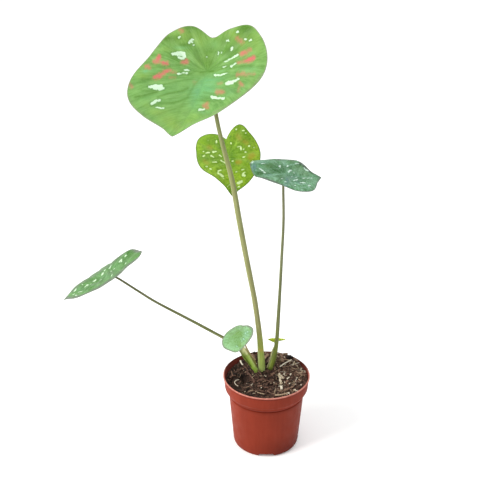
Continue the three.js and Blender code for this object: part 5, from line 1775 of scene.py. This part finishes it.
def smooth_line(knots, count):
    """Points along a curve through the knots (centripetal Catmull-Rom), radius as 4th value."""
    ends = [2 * knots[0] - knots[1], *knots, 2 * knots[-1] - knots[-2]]
    made = []
    per = max(2, count // (len(knots) - 1) + 1)
    for i in range(1, len(ends) - 2):
        p = ends[i - 1:i + 3]
        t = [0.0]
        for a, b in zip(p, p[1:]):
            t.append(t[-1] + max(np.linalg.norm((b - a)[:3]), 1e-6) ** 0.5)
        for s in np.linspace(t[1], t[2], per, endpoint=i == len(ends) - 3):
            a = [between_ends(p[k], p[k + 1], t[k], t[k + 1], s) for k in range(3)]
            b = [between_ends(a[k], a[k + 1], t[k], t[k + 2], s) for k in range(2)]
            made.append(between_ends(*b, t[1], t[2], s))
    made = np.array(made)
    run = np.r_[0, np.cumsum(np.linalg.norm(np.diff(made[:, :3], axis=0), axis=1))]
    even = np.linspace(0, run[-1], count)
    return np.stack([np.interp(even, run, made[:, k]) for k in range(4)], 1), run[-1]


def stalk_line(name, count):
    stalk = STALKS[name]
    leaf = LEAVES[name]
    outward = leaf_axes(leaf)[2]
    end = np.array(leaf["at"]) - outward * (BOSS + GAP)
    before = end - outward * stalk["neck"]
    last = stalk["line"][-1][3]
    knots = [np.array(p, float) for p in stalk["line"]]
    knots += [np.r_[before, stalk["tip"] * 0.6 + last * 0.4],
              np.r_[end + outward * 0.25, stalk["tip"]]]
    return smooth_line(knots, count)


def steady_frame(line):
    """Two directions square to the line that don't twist along it."""
    ahead = np.gradient(line[:, :3], axis=0)
    ahead /= np.linalg.norm(ahead, axis=1)[:, None]
    side = np.zeros_like(ahead)
    now = np.array([1.0, 0, 0])
    for i, d in enumerate(ahead):
        now = now - d * (now @ d)
        now /= np.linalg.norm(now)
        side[i] = now
    return side, np.cross(ahead, side)


print("the top stalk is", round(stalk_line("top", STALKS["top"]["steps"])[1]), "mm long")


# %% Stalk builder
def make_stalk(name):
    stalk = STALKS[name]
    line, length = stalk_line(name, stalk["steps"])
    side, other = steady_frame(line)
    last = stalk["steps"] - 1

    def place(turn, out):
        angle = turn * math.pi
        row = np.clip(np.round(out * (stalk["steps"] + 1)) - 1, 0, last).astype(int)
        closed = np.where((out < 1e-4) | (out > 1 - 1e-4), 0, 1)
        share = row / last
        ridge = 1 + 0.018 * np.cos(11 * angle + 2 * share)
        lump = 1 + 0.04 * np.array([noise.noise(Vector((0, s * length * 0.05, 0))) for s in share])
        radius = line[row, 3] * ridge * lump * closed
        return (line[row, :3] + side[row] * (np.cos(angle) * radius)[:, None]
                + other[row] * (np.sin(angle) * radius)[:, None]) * MM
    piece = wrapped_grid(f"leafstalk_{name}", stalk["sides"], stalk["steps"] + 1, place)
    mark(piece, "ring_x", np.cos(marks(piece, "turn") * math.pi))
    mark(piece, "ring_y", np.sin(marks(piece, "turn") * math.pi))
    mark(piece, "run", marks(piece, "out") * length)
    painted(piece, ("pale", "warm", "deep"))
    return piece


print("helper: make_stalk")


# %% Stalk finish
def stalk_finish(name, ramp, pale, warm, deep, stripes=0.55):
    """Colours along the stalk from its foot, with lengthwise streaks and soft paint."""
    finish, tree, into = new_finish(f"stalk {name}", 0.42, 0.25)
    stripe = noise_on_marks(tree, 0.65, ring_x=1.7, ring_y=1.7, run=0.018)
    tone = colour_ramp(mark_of(tree, "out"), ramp)
    tone = mixed(times(spread(stripe, 0.5, 0.36), stripes), tone, deep)
    tone = mixed(times(spread(stripe, 0.52, 0.66), 0.2), tone, pale)
    blotch = use_group(tree, mottle, Vector=stretched(object_place(tree), (1, 1, 0.35)),
                       Scale=130, Edge=0.25, Dark=(0.7, 0.7, 0.7), Light=(1, 1, 1))["Colour"]
    tone = mixed(0.6, tone, blotch, "MULTIPLY")
    # Soft paint on a stalk: deep is painted shade along its shaded edge and in the sheath's fold;
    # pale and warm are partly painted highlights.
    for kind, colour in (("deep", deep), ("warm", warm), ("pale", pale)):
        tone = mixed(times(mark_of(tree, kind), 0.9, clamp=True), tone, colour)
    feed(into["Base Color"], tone)
    bumped(into, stripe, 0.4, 0.0004)
    return finish


print("helper: stalk_finish")

# %% Colours of the stalks
STALK_LOOKS = {
    "top": dict(
        ramp=[(0, (0.3, 0.4, 0.12)), (0.03, (0.43, 0.6, 0.13)), (0.085, (0.42, 0.56, 0.12)),
              (0.108, (0.34, 0.43, 0.075)), (0.15, (0.33, 0.38, 0.075)),
              (0.175, (0.28, 0.29, 0.09)), (0.22, (0.26, 0.26, 0.1)), (0.45, (0.27, 0.28, 0.11)),
              (0.8, (0.25, 0.27, 0.1)), (1, (0.18, 0.19, 0.06))], pale=(0.52, 0.58, 0.28),
        warm=(0.5, 0.36, 0.08), deep=(0.11, 0.11, 0.025), stripes=0.3),
    "back": dict(
        ramp=[(0, (0.24, 0.32, 0.08)), (0.5, (0.26, 0.3, 0.11)), (1, (0.22, 0.3, 0.06))],
        pale=(0.4, 0.45, 0.2), warm=(0.3, 0.25, 0.08), deep=(0.09, 0.1, 0.02)),
    "right": dict(
        ramp=[(0, (0.12, 0.13, 0.03)), (0.03, (0.15, 0.17, 0.035)), (0.07, (0.25, 0.34, 0.045)),
              (0.14, (0.23, 0.29, 0.05)), (0.28, (0.12, 0.135, 0.04)), (0.6, (0.155, 0.17, 0.075)),
              (1, (0.14, 0.14, 0.07))], pale=(0.5, 0.54, 0.26), warm=(0.3, 0.24, 0.08),
        deep=(0.065, 0.085, 0.012), stripes=0.35),
    "left": dict(
        ramp=[(0, (0.25, 0.42, 0.06)), (0.12, (0.32, 0.52, 0.06)), (0.2, (0.24, 0.34, 0.05)),
              (0.28, (0.13, 0.15, 0.045)), (0.7, (0.135, 0.145, 0.06)), (1, (0.13, 0.13, 0.065))],
        pale=(0.95, 0.95, 0.5), warm=(0.44, 0.64, 0.11), deep=(0.065, 0.085, 0.012), stripes=0.35),
    "small": dict(
        ramp=[(0, (0.4, 0.33, 0.13)), (0.5, (0.46, 0.37, 0.16)), (1, (0.44, 0.4, 0.2))],
        pale=(0.42, 0.34, 0.2), warm=(0.34, 0.2, 0.1), deep=(0.1, 0.06, 0.03)),
    "bud": dict(
        ramp=[(0, (0.7, 0.68, 0.34)), (0.5, (0.92, 0.82, 0.52)), (1, (0.56, 0.62, 0.16))],
        pale=(0.9, 0.84, 0.58), warm=(0.5, 0.4, 0.2), deep=(0.25, 0.34, 0.06), stripes=0.1),
}
STALK_SLOTS = {"top": "stalk_olive", "back": "stalk_olive", "right": "stalk_green",
               "left": "stalk_green", "small": "stalk_brown", "bud": "stalk_pale"}
print("slots of the stalks:", sorted(set(STALK_SLOTS.values())))

# %% Make the six stalks
for name, looks in STALK_LOOKS.items():
    finish = stalk_finish(name, **looks)
    place_piece(make_stalk(name), finish, STALK_SLOTS[name], f"stalk_{name}", smooth=60)
